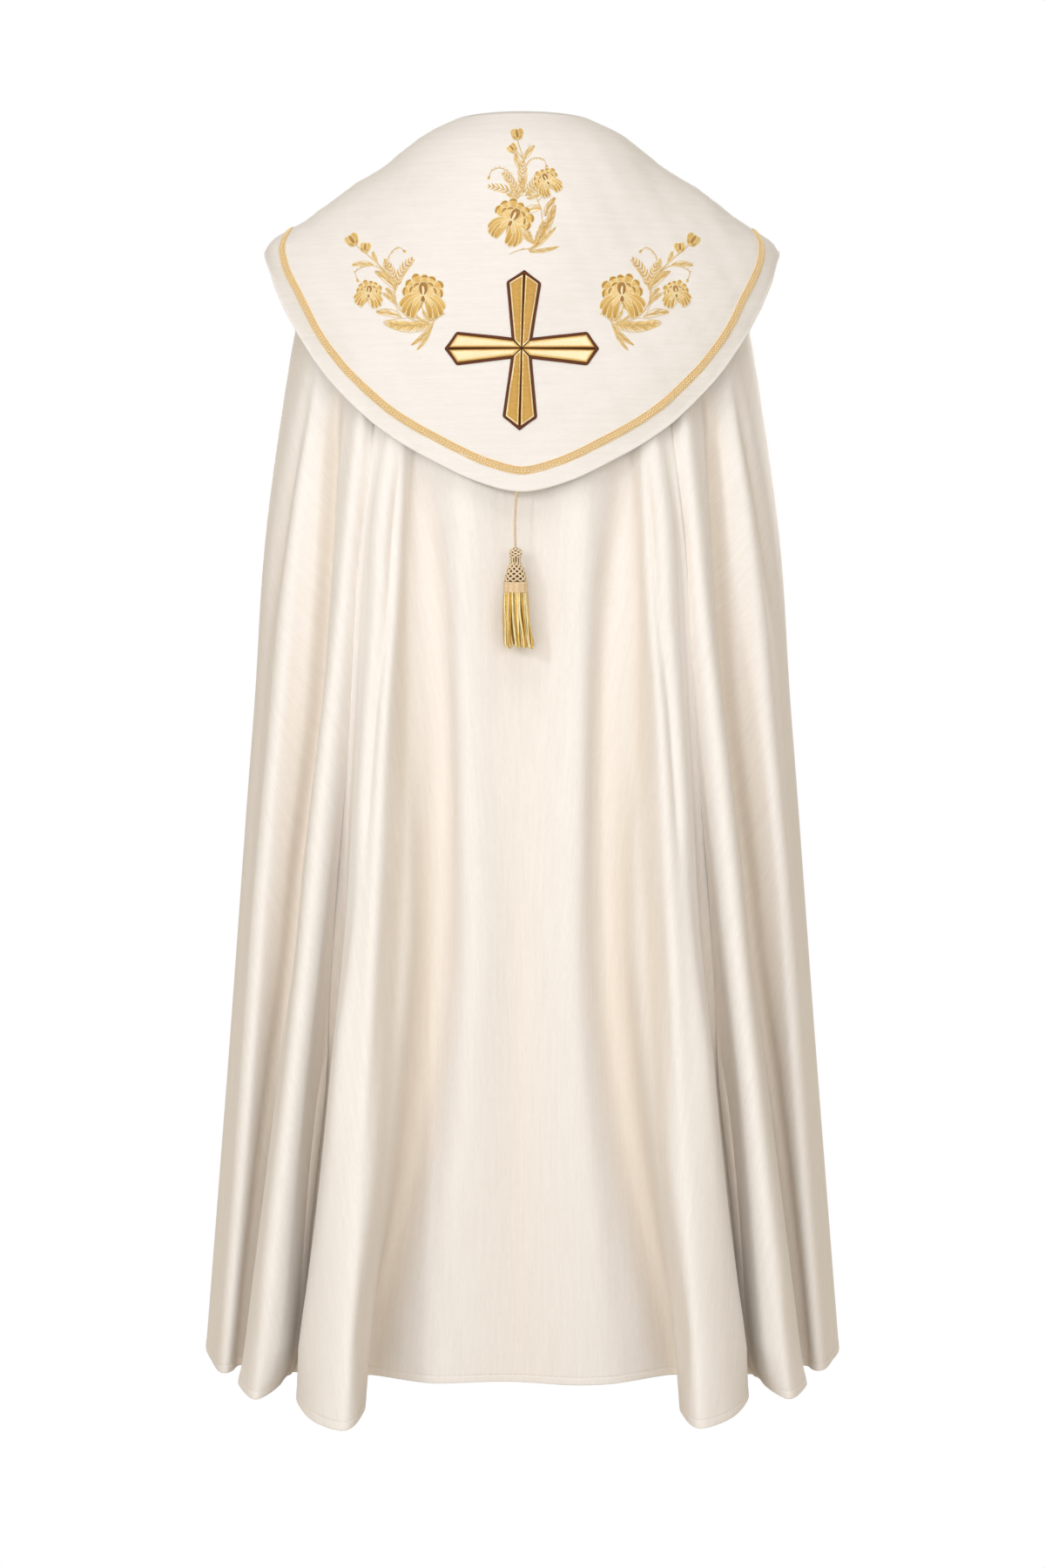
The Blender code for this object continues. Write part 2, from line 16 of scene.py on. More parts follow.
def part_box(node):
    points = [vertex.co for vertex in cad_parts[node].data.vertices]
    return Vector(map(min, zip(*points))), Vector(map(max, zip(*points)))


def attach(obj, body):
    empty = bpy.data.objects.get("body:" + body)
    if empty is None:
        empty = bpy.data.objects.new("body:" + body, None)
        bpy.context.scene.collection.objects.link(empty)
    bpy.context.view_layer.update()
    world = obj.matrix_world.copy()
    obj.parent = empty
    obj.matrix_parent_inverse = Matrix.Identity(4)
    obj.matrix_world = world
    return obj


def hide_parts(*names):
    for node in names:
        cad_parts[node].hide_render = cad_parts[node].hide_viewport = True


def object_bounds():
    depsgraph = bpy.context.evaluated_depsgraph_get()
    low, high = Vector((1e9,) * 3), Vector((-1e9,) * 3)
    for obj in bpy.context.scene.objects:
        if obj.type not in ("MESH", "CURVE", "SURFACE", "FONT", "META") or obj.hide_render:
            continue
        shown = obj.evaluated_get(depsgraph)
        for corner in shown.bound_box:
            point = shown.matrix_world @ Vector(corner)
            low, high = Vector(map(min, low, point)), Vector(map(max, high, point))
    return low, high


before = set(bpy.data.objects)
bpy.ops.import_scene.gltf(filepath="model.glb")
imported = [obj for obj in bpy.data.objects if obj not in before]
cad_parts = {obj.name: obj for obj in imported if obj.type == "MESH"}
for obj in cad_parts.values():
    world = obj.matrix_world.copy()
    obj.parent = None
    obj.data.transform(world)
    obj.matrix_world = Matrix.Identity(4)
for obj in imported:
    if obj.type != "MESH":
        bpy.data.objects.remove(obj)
CAD_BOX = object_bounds()
RNG = np.random.default_rng(7)
BODY = "root"

# ---- camera ----
CAMERA_PLACE = (0.0, 3.60, -0.441)
CAMERA_PITCH = radians(5.305)
CAMERA_LENS = 70.0
CAMERA_SENSOR = 36.0
PHOTO_SIZE = (1200, 1800)

# ---- the mantle's rings over the shoulders: centre back, shoulder side and front edge, in millimetres ----
Ring = namedtuple("Ring", "back_y back_z side_x side_z front_x front_y front_z square fold")


def rings(rows):
    """Rings from rows of whole millimetres, with the power of a round form and its share of folding."""
    return [Ring(*(size / 1000 for size in sizes), *form) for *sizes, form in rows.values()]


*MANTLE_RINGS, BUST_RING = rings({
    "neck": (60, 0, 78, -4, 14, -78, -58, (2.0, 0.0)),
    "collar": (90, -36, 118, -26, 16, -100, -92, (2.0, 0.0)),
    "blade": (124, -110, 167, -66, 18, -137, -155, (2.0, 0.0)),
    "yoke": (142, -190, 209, -100, 20, -159, -225, (2.0, 0.1)),
    "cap": (150, -260, 240, -144, 22, -171, -290, (2.1, 0.4)),
    "arm": (154, -320, 262, -225, 25, -180, -340, (2.2, 0.8)),
    "bust": (156, -380, 288, -380, 28, -188, -380, (2.3, 1.0)),
})
FOLD_LEVELS = (-0.380, -0.700, -1.080, -1.458)     # bust, waist, knee and hem
FOLDS = {                 # X and Y at each level, and how far the hem sags, in millimetres
    "centre_back": (0, 156, 0, 155, 0, 153, 0, 150, 0),
    "back_swell": (68, 160, 66, 161, 63, 163, 101, 152, 0),
    "back_hollow": (114, 143, 93, 142, 111, 134, 186, 118, 0),
    "big_flute_inside": (127, 146, 131, 150, 150, 180, 180, 232, 8),
    "big_flute": (139, 150, 155, 180, 173, 221, 202, 281, 14),
    "big_flute_round": (148, 147, 171, 175, 197, 214, 233, 256, 12),
    "big_flute_outside": (155, 138, 183, 159, 213, 186, 257, 200, 6),
    "big_flute_under": (162, 129, 190, 140, 215, 120, 254, 112, 0),
    "middle_hollow": (169, 122, 199, 120, 239, 106, 281, 102, 0),
    "slim_flute_inside": (177, 125, 207, 128, 247, 138, 284, 160, 0),
    "slim_flute": (187, 129, 219, 148, 259, 175, 303, 200, 4),
    "slim_flute_outside": (205, 110, 232, 125, 276, 140, 327, 158, 0),
    "deep_hollow": (219, 93, 244, 85, 289, 70, 327, 76, 0),
    "arm_fold": (248, 86, 282, 88, 314, 94, 349, 100, 0),
    "arm_flank": (273, 48, 303, 46, 337, 50, 369, 55, 0),
    "side": (288, 0, 318, 0, 349, 0, 381, 0, 0),
    "side_front": (271, -72, 301, -80, 331, -90, 357, -100, 0),
    "elbow_hollow": (242, -100, 262, -104, 288, -100, 308, -94, 0),
    "outer_flute": (209, -142, 226, -165, 246, -200, 264, -236, 8),
    "outer_hollow": (173, -146, 181, -149, 196, -144, 212, -134, 0),
    "inner_flute": (139, -173, 145, -194, 156, -224, 168, -254, 10),
    "inner_hollow": (104, -171, 108, -172, 118, -170, 130, -166, 0),
    "front_band": (68, -186, 76, -199, 90, -214, 104, -230, 4),
    "front_edge": (28, -188, 38, -194, 52, -202, 68, -210, 0),
}
FOLD_NAMES = list(FOLDS)

# ---- the hood: rings of the cape it is cut from, and its length along rays from the neck ----
HOOD_RINGS = rings({
    "collar": (98, -33, 119, -20, 16, -108, -90, (2.0, 0)),
    "blade": (134, -105, 182, -65, 18, -146, -155, (1.9, 0)),
    "yoke": (154, -185, 241, -107, 20, -168, -225, (1.8, 0)),
    "tip": (166, -262, 292, -141, 22, -180, -295, (1.75, 0)),
    "drop": (176, -343, 304, -173, 24, -188, -370, (1.85, 0)),
    "point": (184, -440, 309, -255, 26, -194, -460, (1.9, 0)),
})
RAY_TURNS = (0.00, 0.05, 0.10, 0.20, 0.30, 0.38, 0.45, 0.50, 0.56, 0.66, 0.80, 1.00)
HOOD_LENGTHS = (0.461, 0.455, 0.447, 0.439, 0.420, 0.388, 0.347, 0.318, 0.300, 0.290, 0.262, 0.190)
BRAID_INSETS = (0.024, 0.0245, 0.0245, 0.024, 0.024, 0.030, 0.027) + (0.024,) * 5
HOOD_KNOTS = 16           # columns of each half of the cape
SEAM_RISE = 0.0023        # the hood's middle surface over the mantle's, at the neck


# ---- smooth curves and sheets ----
def unit(vectors):
    """The same directions, each one long."""
    return vectors / np.maximum(np.linalg.norm(vectors, axis=-1, keepdims=True), 1e-12)


def dot(a, b):
    """Dot products, pair by pair."""
    return (a * b).sum(axis=-1)


def soft_step(t):
    """A smooth rise from 0 to 1."""
    return t * t * (3 - 2 * t)


def curve_points(knots, values, places):
    """A smooth curve through values at uneven knots, at many places. Values with a third axis differ from
    place to place, along their second one."""
    knots = np.asarray(knots, float)
    steps = np.diff(knots)
    wide = steps.reshape((-1,) + (1,) * (values.ndim - 1))
    rates = np.diff(values, axis=0) / wide
    inner = (rates[:-1] * wide[1:] + rates[1:] * wide[:-1]) / (wide[:-1] + wide[1:])
    slopes = np.concatenate([rates[:1], inner, rates[-1:]])
    span = np.clip(np.searchsorted(knots, places, side="right") - 1, 0, len(steps) - 1)
    own = (np.arange(len(places)),) if values.ndim == 3 else ()
    here, after = (span, *own), (span + 1, *own)
    step = steps[span]
    t = (places - knots[span]) / step
    if values.ndim > 1:
        step, t = step[:, None], t[:, None]
    leave = t * (1 - t) ** 2 * step
    arrive = t * t * (t - 1) * step
    start = values[here] * (1 - soft_step(t)) + values[after] * soft_step(t)
    return start + slopes[here] * leave + slopes[after] * arrive


def running_length(points):
    """Distance along a line of points, from its first point."""
    return np.concatenate([[0.0], np.cumsum(np.linalg.norm(np.diff(points, axis=0), axis=1))])


def points_along(line, runs, places):
    """Points at places along a line whose own points are at runs."""
    return np.stack([np.interp(places, runs, line[:, i]) for i in range(3)], axis=1)


def mirrored(half, sign=-1):
    """Values of a half, from the centre out, with the other half's before them."""
    return np.concatenate([half[:0:-1] * sign, half])


def ring_points(ring, turns):
    """Points of a ring: turn 0 at centre back, 0.5 at the shoulder, 1 at the front edge."""
    angle = turns * pi
    side = np.maximum(np.sin(angle), 0.0)
    end = np.abs(np.cos(angle))
    swell = (side ** ring.square + end ** ring.square) ** (-1 / ring.square)
    back = angle <= pi / 2
    inner_x = np.where(back, 0.0, ring.front_x)
    x = inner_x + (ring.side_x - inner_x) * side * swell
    y = np.where(back, ring.back_y, ring.front_y) * end * swell
    z = ring.side_z + (np.where(back, ring.back_z, ring.front_z) - ring.side_z) * end ** 2
    return np.stack([x, y, z], axis=1)


class Sheet:
    """A smooth surface through a net of points with uneven knots both ways. It is made from its left half."""

    STEP = 0.0005

    def __init__(self, across, down, rows):
        self.across = mirrored(across)
        self.down = down
        self.rows = [mirrored(row, (-1, 1, 1)) for row in rows]

    def points(self, across, down):
        """Points at arrays of places, in the shape of those arrays."""
        u, v = np.broadcast_arrays(across, down)
        columns = np.stack([curve_points(self.across, row, u.ravel()) for row in self.rows])
        return curve_points(self.down, columns, v.ravel()).reshape(u.shape + (3,))

    def tangents(self, across, down):
        """How the surface moves per unit across and per unit down."""
        left, right = (np.clip(across + step, -1.0, 1.0) for step in (-self.STEP, self.STEP))
        above, below = (np.clip(down + step, 0.0, self.down[-1]) for step in (-self.STEP, self.STEP))
        along = (self.points(right, down) - self.points(left, down)) / (right - left)[..., None]
        fall = (self.points(across, below) - self.points(across, above)) / (below - above)[..., None]
        return along, fall

    def normals(self, across, down):
        """Directions away from the wearer."""
        return unit(np.cross(*self.tangents(across, down)))


def mantle_sheet():
    """The mantle's middle surface: rings that take up its folds little by little, then the folds' levels."""
    places = np.array(list(FOLDS.values())) / 1000
    levels = [np.insert(places[:, 2 * i : 2 * i + 2], 2, z, axis=1) for i, z in enumerate(FOLD_LEVELS)]
    levels[-1][:, 2] -= places[:, -1]
    runs = [running_length(level) for level in levels]
    knots = np.mean([run / run[-1] for run in runs], axis=0)
    side = knots[FOLD_NAMES.index("side")]
    turns = np.where(knots <= side, 0.5 * knots / side, 0.5 + 0.5 * (knots - side) / (1 - side))
    folding = levels[0] - ring_points(BUST_RING, turns)
    rows = [ring_points(ring, turns) + folding * ring.fold for ring in MANTLE_RINGS] + levels
    down = np.mean([running_length(column) for column in np.stack(rows, axis=1)], axis=0)
    return Sheet(knots, down, rows)


def hood_sheet(mantle):
    """The cape that the hood is cut from, sewn on the mantle's neck."""
    turns = np.linspace(0.0, 1.0, HOOD_KNOTS + 1)
    neck = mantle.points(turns, 0.0) + mantle.normals(turns, np.zeros_like(turns)) * SEAM_RISE
    rows = [neck] + [ring_points(ring, turns) for ring in HOOD_RINGS]
    return Sheet(turns, running_length(np.array([row[0] for row in rows])), rows)


def ray_values(turns, values):
    """Values between the hood's rays."""
    return curve_points(mirrored(np.array(RAY_TURNS)), mirrored(np.array(values), 1), turns)


def inset_places(turns, inset):
    """Where lines drawn square to the hood's edge, inset long, end on the cape."""
    lengths = ray_values(turns, HOOD_LENGTHS)
    before, after = (np.clip(turns + step, -1.0, 1.0) for step in (-0.002, 0.002))
    start, end = (CAPE.points(turn, ray_values(turn, HOOD_LENGTHS)) for turn in (before, after))
    inward = unit(np.cross(end - start, CAPE.normals(turns, lengths))) * inset[:, None]
    along, fall = CAPE.tangents(turns, lengths)
    size = dot(along, along) * dot(fall, fall) - dot(along, fall) ** 2
    turn_shift = (dot(inward, along) * dot(fall, fall) - dot(inward, fall) * dot(along, fall)) / size
    length_shift = (dot(inward, fall) * dot(along, along) - dot(inward, along) * dot(along, fall)) / size
    return np.clip(turns + turn_shift, -1.0, 1.0), lengths + length_shift


# ---- meshes: a part has points, faces, and one UV place and one tone for each point ----
Part = namedtuple("Part", "points faces uv tone")


def add_mesh(name, points, faces, material, uv=None, tone=None):
    """An object from points and faces. One with a UV map and tones is smooth."""
    mesh = bpy.data.meshes.new(name)
    mesh.from_pydata(np.asarray(points, float).tolist(), [], [tuple(face) for face in faces])
    if uv is not None:
        corner = np.empty(len(mesh.loops), np.int32)
        mesh.loops.foreach_get("vertex_index", corner)
        mesh.uv_layers.new(name="cut").data.foreach_set("uv", np.asarray(uv, np.float32)[corner].ravel())
        tones = mesh.attributes.new("tone", "FLOAT", "POINT")
        tones.data.foreach_set("value", np.asarray(tone, np.float32))
        mesh.shade_smooth()
    mesh.materials.append(material)
    made = bpy.data.objects.new(name, mesh)
    bpy.context.collection.objects.link(made)
    return made


def add_part(name, part, material, *nodes, slot=None):
    """An object from a part, riding on the body and standing for CAD nodes, which it hides; the slot is not
    used.
    """
    made = add_mesh(name, part.points, part.faces, material, part.uv, part.tone)
    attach(made, BODY)
    if nodes:
        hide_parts(*nodes)
    return made


def merged(parts):
    """Several parts as one."""
    faces = []
    start = 0
    for part in parts:
        faces += [tuple(int(corner) + start for corner in face) for face in part.faces]
        start += len(part.points)
    points, uv, tone = (np.concatenate([part[i] for part in parts]) for i in (0, 2, 3))
    return Part(points, faces, uv, tone)


def net_normals(points):
    """Outward directions of a net of points, from its own shape."""
    return unit(np.cross(np.gradient(points, axis=1), np.gradient(points, axis=0)))


def grid_faces(rows, columns, closed=False):
    """Quads of a net of rows x columns points. Closed joins the last column to the first."""
    r, c = np.meshgrid(np.arange(rows - 1), np.arange(columns if closed else columns - 1), indexing="ij")
    a = (r * columns + c).ravel()
    b = (r * columns + (c + 1) % columns).ravel()
    return np.stack([a, b, b + columns, a + columns], axis=1)


def wall(outer, inner, uv, tone=0.0, flip=False):
    """A closed wall between two nets of points of the same size."""
    rows, columns = outer.shape[:2]
    faces = grid_faces(rows, columns)
    back = rows * columns
    index = np.arange(back).reshape(rows, columns)
    rim = np.concatenate([index[0, :-1], index[:-1, -1], index[-1, :0:-1], index[:0:-1, 0]])
    ahead = np.roll(rim, -1)
    faces = np.concatenate([
        faces, faces[:, ::-1] + back, np.stack([ahead, rim, rim + back, ahead + back], axis=1)])
    points = np.concatenate([outer.reshape(-1, 3), inner.reshape(-1, 3)])
    uv = np.tile(uv.reshape(-1, 2), (2, 1))
    tone = np.tile(np.broadcast_to(tone, (rows, columns)).ravel(), 2)
    return Part(points, faces[:, ::-1] if flip else faces, uv, tone)


def swept(points, runs, girth, tone, closed=False):
    """A part from rings of points along a path, capped where the path is open."""
    count, sides = points.shape[:2]
    faces = [tuple(face) for face in grid_faces(count, sides, closed=True)]
    if closed:
        last = (count - 1) * sides
        faces += [(last + i, last + (i + 1) % sides, (i + 1) % sides, i) for i in range(sides)]
    else:
        faces += [tuple(range(sides - 1, -1, -1)), tuple(range((count - 1) * sides, count * sides))]
    uv = np.stack(np.meshgrid(runs, np.arange(sides) / sides * girth, indexing="ij"), axis=-1)
    return Part(points.reshape(-1, 3), faces, uv.reshape(-1, 2), np.full(count * sides, float(tone)))


def tube(path, radius, sides=8, lobes=0, twist=0.0, depth=0.0, tone=0.5):
    """A tube along a path in space. Lobes of a given depth twist round it, in turns per metre."""
    radius = np.broadcast_to(radius, (len(path),))
    ahead = unit(np.gradient(path, axis=0))
    start = np.cross(ahead[0], (0.0, 1.0, 0.0))
    if np.linalg.norm(start) < 0.2:
        start = np.cross(ahead[0], (1.0, 0.0, 0.0))
    side = np.empty_like(path)
    side[0] = start / np.linalg.norm(start)
    for i in range(1, len(path)):
        flat = side[i - 1] - ahead[i] * (side[i - 1] @ ahead[i])
        side[i] = flat / np.linalg.norm(flat)
    up = np.cross(ahead, side)
    angle = np.linspace(0, tau, sides, endpoint=False)
    runs = running_length(path)
    turn = angle[None, :] + runs[:, None] * twist * tau
    swell = radius[:, None] * (1 - depth * (0.5 - 0.5 * np.cos(lobes * turn)))
    ring = side[:, None] * np.cos(angle)[None, :, None] + up[:, None] * np.sin(angle)[None, :, None]
    return swept(path[:, None] + ring * swell[..., None], runs, tau * float(radius.mean()), tone)


def round_axis(axis, radius, angle, drops):
    """Points round a vertical axis, at distances below its top."""
    x, y = axis[0] + radius * np.cos(angle), axis[1] + radius * np.sin(angle)
    return np.stack(np.broadcast_arrays(x, y, axis[2] - drops), axis=-1)


def turned(axis, drops, radii, sides, tone):
    """A closed shape turned about a vertical axis."""
    drops, radii = np.asarray(drops), np.asarray(radii)
    angle = np.linspace(0, tau, sides, endpoint=False)
    points = round_axis(axis, radii[:, None], angle, drops[:, None])
    part = swept(points, drops, tau * float(radii.mean()), tone)
    return part._replace(faces=[face[::-1] for face in part.faces], uv=part.uv[:, ::-1])


# ---- flat work: drawn in a plane, with heights, and then laid on a surface ----
def aside_of(line, closed=False):
    """The way aside a flat line, at each of its points."""
    ahead = np.roll(line, -1, axis=0) - np.roll(line, 1, axis=0) if closed else np.gradient(line, axis=0)
    return unit(ahead)[:, ::-1] * (-1, 1)


def strand(path, half_wide, half_high, lift, sides, closed=False, tone=0.9, unit_size=1.0):
    """A raised cord along a flat path. The path's own unit is unit_size metres."""
    angle = np.linspace(0, tau, sides, endpoint=False) + pi / sides
    wide = np.reshape(half_wide, (-1, 1)) * np.cos(angle)[None, :] * np.ones((len(path), 1))
    flat = path[:, None] + aside_of(path, closed)[:, None] * wide[..., None]
    high = np.broadcast_to(lift + half_high * np.sin(angle), wide.shape)
    points = np.concatenate([flat, high[..., None]], axis=-1)
    girth = tau * float(np.mean(half_wide)) * unit_size
    return swept(points, running_length(path) * unit_size, girth, tone, closed)


def padded_net(flat, heights, uv, tone, under=-0.0003):
    """A closed pad over a flat net of places, with a height at each."""
    low = np.full(heights.shape, under)
    return wall(*(np.concatenate([flat, high[..., None]], axis=-1) for high in (heights, low)), uv, tone)


def cast(tree, starts, ways):
    """Points where lines meet a surface, and the surface's directions there."""
    starts, ways = np.broadcast_arrays(starts, ways)
    hits = [tree.ray_cast(Vector(start), Vector(way))[:2] for start, way in zip(starts, ways)]
    return np.array([point for point, facing in hits]), np.array([facing for point, facing in hits])


def laid(part, hits):
    """A flat part moved onto the surface that its places meet, and out of it by its heights."""
    points, facing = hits
    return part._replace(points=points + facing * part.points[:, 2:])


def laid_along_y(part, tree):
    """A flat part in X and Z, laid on the surface behind the wearer."""
    x, z = part.points[:, 0], part.points[:, 1]
    return laid(part, cast(tree, np.stack([x, np.ones(len(x)), z], axis=1), (0.0, -1.0, 0.0)))


def laid_as_seen(part, tree):
    """A flat part in pixels of the photograph, laid on the surface seen there."""
    ahead = np.array([0.0, -cos(CAMERA_PITCH), -sin(CAMERA_PITCH)])
    above = np.array([0.0, -sin(CAMERA_PITCH), cos(CAMERA_PITCH)])
    per_pixel = CAMERA_SENSOR / CAMERA_LENS / PHOTO_SIZE[1]
    right = (part.points[:, :1] - PHOTO_SIZE[0] / 2) * per_pixel
    up = (PHOTO_SIZE[1] / 2 - part.points[:, 1:2]) * per_pixel
    return laid(part, cast(tree, CAMERA_PLACE, unit(ahead + right * (-1.0, 0.0, 0.0) + up * above)))


def surface_of(made):
    """A piece's faces, for laying other pieces on them."""
    mesh = made.data
    corners = [vertex.co.copy() for vertex in mesh.vertices]
    return BVHTree.FromPolygons(corners, [tuple(face.vertices) for face in mesh.polygons])


MANTLE = mantle_sheet()
CAPE = hood_sheet(MANTLE)


# ---- materials ----
class Finish:
    """A Principled material, and the nodes that feed its surface."""

    def __init__(self, name, base, roughness, specular, sheen=0.0, metallic=0.0, sheen_roughness=0.5):
        self.material = bpy.data.materials.new(name)
        self.material.use_nodes = True
        self.material.diffuse_color = (*base, 1)
        self.surface = self.material.node_tree.nodes["Principled BSDF"]
        self.feed(self.surface, {
            "Base Color": (*base, 1), "Roughness": roughness, "Specular IOR Level": specular,
            "Sheen Weight": sheen, "Sheen Roughness": sheen_roughness, "Metallic": metallic,
        })

    def feed(self, node, inputs):
        """Set a node's inputs, each to a value or to another node's output."""
        for name, value in inputs.items():
            if isinstance(value, bpy.types.NodeSocket):
                self.material.node_tree.links.new(value, node.inputs[name])
            else:
                node.inputs[name].default_value = value

    def node(self, kind, inputs=None, **settings):
        """A shader node with its settings and inputs."""
        made = self.material.node_tree.nodes.new("ShaderNode" + kind)
        for setting, value in settings.items():
            setattr(made, setting, value)
        self.feed(made, inputs or {})
        return made

    def cut(self):
        """Places on the flat cut, in metres."""
        return self.node("UVMap", uv_map="cut").outputs["UV"]

    def tone(self):
        """The tone that each point of the piece carries."""
        return self.node("Attribute", attribute_name="tone").outputs["Fac"]

    def noise(self, place, stretch, detail, rough):
        """Noise at places, with so many waves a metre each way."""
        place = self.node("Mapping", {"Vector": place, "Scale": (*stretch, 1)}).outputs["Vector"]
        inputs = {"Vector": place, "Scale": 1.0, "Detail": detail, "Roughness": rough}
        return self.node("TexNoise", inputs).outputs["Fac"]

    def maths(self, operation, *values):
        """The outcome of an operation on values or outputs."""
        return self.node("Math", dict(enumerate(values)), operation=operation).outputs["Value"]

    def ramp(self, factor, stops):
        """A colour ramp of (place, colour) stops."""
        made = self.node("ValToRGB", {"Fac": factor})
        for _ in stops[2:]:
            made.color_ramp.elements.new(0.5)
        for element, (place, colour) in zip(made.color_ramp.elements, stops):
            element.position = place
            element.color = (*colour, 1)
        return made.outputs["Color"]

    def bump(self, height, distance, strength):
        """Let heights tilt the surface's normals."""
        made = self.node("Bump", {"Height": height, "Distance": distance, "Strength": strength})
        self.feed(self.surface, {"Normal": made.outputs["Normal"]})


IVORY_STOPS = (
    (0.31, (0.748, 0.728, 0.710)),
    (0.50, (0.786, 0.772, 0.762)),
    (0.67, (0.820, 0.810, 0.804)),
)
HOOD_PAINTED_SHADE = 0.930                   # painted shade: the hood's cloth is painted a little darker than the body's, as it leans towards the lights
PAINTED_SHADE_TINT = (0.96, 0.905, 0.835)   # painted shade: what the cloth's colour is multiplied by in the deepest creases, darker and warmer


def cloth_material(name, upright, shade=1.0):
    """Ivory satin with fine slubs, which lie along the cut's V where it is upright and its U where not."""
    cloth = Finish(name, IVORY_STOPS[1][1], 0.54, 0.35, sheen=0.12, sheen_roughness=0.4)
    place = cloth.cut()

    def slubs(fine, long, detail, rough):
        """Noise with so many waves a metre across the slubs and along them."""
        return cloth.noise(place, (fine, long) if upright else (long, fine), detail, rough)

    slub = slubs(1200, 90, 3.0, 0.6)
    drift = slubs(220, 14, 2.0, 0.5)
    mixed = cloth.maths("ADD", cloth.maths("MULTIPLY", slub, 0.6), cloth.maths("MULTIPLY", drift, 0.4))
    # shade darkens a copy of the cloth: painted shade, used for the hood
    colour = cloth.ramp(mixed, [(at, [part * shade for part in tint]) for at, tint in IVORY_STOPS])
    # painted shade: the tone attribute multiplies the cloth's colour by the shade tint, darker and warmer in
    # creases and on steep sides
    inputs = {"Factor": cloth.tone(), "A": colour, "B": (*PAINTED_SHADE_TINT, 1)}
    tinted = cloth.node("Mix", inputs, data_type="RGBA", blend_type="MULTIPLY")
    cloth.feed(cloth.surface, {"Base Color": tinted.outputs["Result"]})
    height = cloth.maths("ADD", slubs(2600, 900, 1.0, 0.5), cloth.maths("MULTIPLY", slub, 1.5))
    cloth.bump(height, 0.00012, 0.5)
    return cloth.material


def thread_material(name, stops, pitch, roughness=0.38, metallic=0.25, grain=0.25, gloss=0.30):
    """Thread that lies along the UV map's V, a pitch apart. The tone attribute picks its colour."""
    thread = Finish(name, stops[len(stops) // 2][1], roughness, gloss, sheen=gloss * 0.3, metallic=metallic)
    place = thread.cut()
    strands = thread.noise(place, (1 / pitch, 90), 2.0, 0.6)
    change = thread.maths("MULTIPLY", thread.maths("SUBTRACT", strands, 0.5), grain * 2)
    colour = thread.ramp(thread.maths("ADD", thread.tone(), change), stops)
    thread.feed(thread.surface, {"Base Color": colour})
    across = thread.node("SeparateXYZ", {"Vector": place}).outputs["X"]
    wave = thread.maths("SINE", thread.maths("MULTIPLY", across, tau / pitch))
    thread.bump(thread.maths("ADD", thread.maths("MULTIPLY", wave, 0.5), strands), 0.00016, 0.8)
    return thread.material


# ---- creases: pressed into the mantle where the photograph shows them, and alike in front ----
# each has a height in millimetres, a width, a fade in and a fade out in pixels, then places down and across
BACK_CREASES = {
    "arm_ridge": (3.0, 7, 60, 100, 430, 345, 500, 334, 560, 322, 600, 316, 700, 306),
    "arm_crease": (-6.0, 6, 60, 120, 430, 360, 500, 346, 560, 334, 600, 328, 720, 311),
    "outer_ridge": (4.0, 12, 60, 100,
        430, 366, 500, 352, 600, 340, 700, 328, 800, 321, 900, 312, 1000, 299, 1100, 288, 1200, 284,
        1300, 280, 1400, 274, 1560, 262),
    "deep_crease": (-14.0, 6.5, 90, 40,
        440, 388, 500, 382, 600, 376, 700, 370, 800, 364, 900, 352, 1000, 340, 1100, 332, 1200, 317,
        1300, 304, 1400, 292, 1500, 281, 1570, 275),
    "gap_fill": (9.0, 9, 130, 70, 1130, 366, 1200, 362, 1300, 357, 1400, 352, 1560, 345),
    "slim_ridge": (5.0, 11, 90, 80,
        440, 418, 500, 412, 600, 400, 700, 394, 800, 382, 900, 370, 1000, 360, 1100, 352, 1200, 340,
        1300, 328, 1400, 316, 1500, 305),
    "middle_fill": (12.0, 17, 90, 80,
        440, 434, 500, 430, 600, 425, 700, 412, 800, 398, 900, 386, 1000, 376, 1100, 367, 1200, 357,
        1300, 346, 1400, 334, 1500, 323, 1580, 314),
    "low_fill": (22.0, 16, 240, 60,
        1000, 392, 1100, 384, 1200, 377, 1300, 366, 1400, 353, 1500, 341, 1580, 332),
    "flute_edge": (-6.0, 6.0, 150, 60,
        960, 406, 1100, 395, 1200, 386, 1300, 376, 1400, 363, 1500, 350, 1565, 339),
    "flute_ridge": (3.0, 8, 80, 100,
        500, 452, 560, 448, 600, 442, 700, 436, 800, 424, 900, 418, 960, 414),
    "flute_split": (-4.0, 5, 80, 100,
        500, 458, 560, 455, 600, 451, 700, 445, 800, 433, 900, 425, 960, 421),
    "flute_second": (3.0, 8, 80, 250,
        500, 466, 560, 462, 600, 460, 700, 454, 800, 442, 900, 436, 1000, 431, 1100, 425,
        1200, 419),
    "low_split": (-1.8, 7, 100, 150, 1000, 446, 1100, 440, 1200, 433, 1300, 424, 1400, 414),
    "low_ridge": (6.0, 14, 100, 200,
        860, 462, 1000, 466, 1100, 464, 1200, 456, 1300, 444, 1400, 432),
    "broad_hollow": (-9.0, 20, 110, 30,
        500, 483, 600, 489, 700, 504, 800, 507, 900, 505, 1000, 503, 1100, 500, 1200, 489,
        1300, 476, 1400, 457, 1500, 434, 1570, 420),
    "broad_ridge": (4.0, 20, 110, 150,
        500, 534, 600, 532, 700, 526, 800, 528, 900, 540, 1000, 545, 1100, 549, 1200, 538,
        1300, 526, 1450, 506),
    "centre_hollow": (-1.6, 12, 60, 160, 500, 574, 600, 577, 700, 574, 860, 570),
}
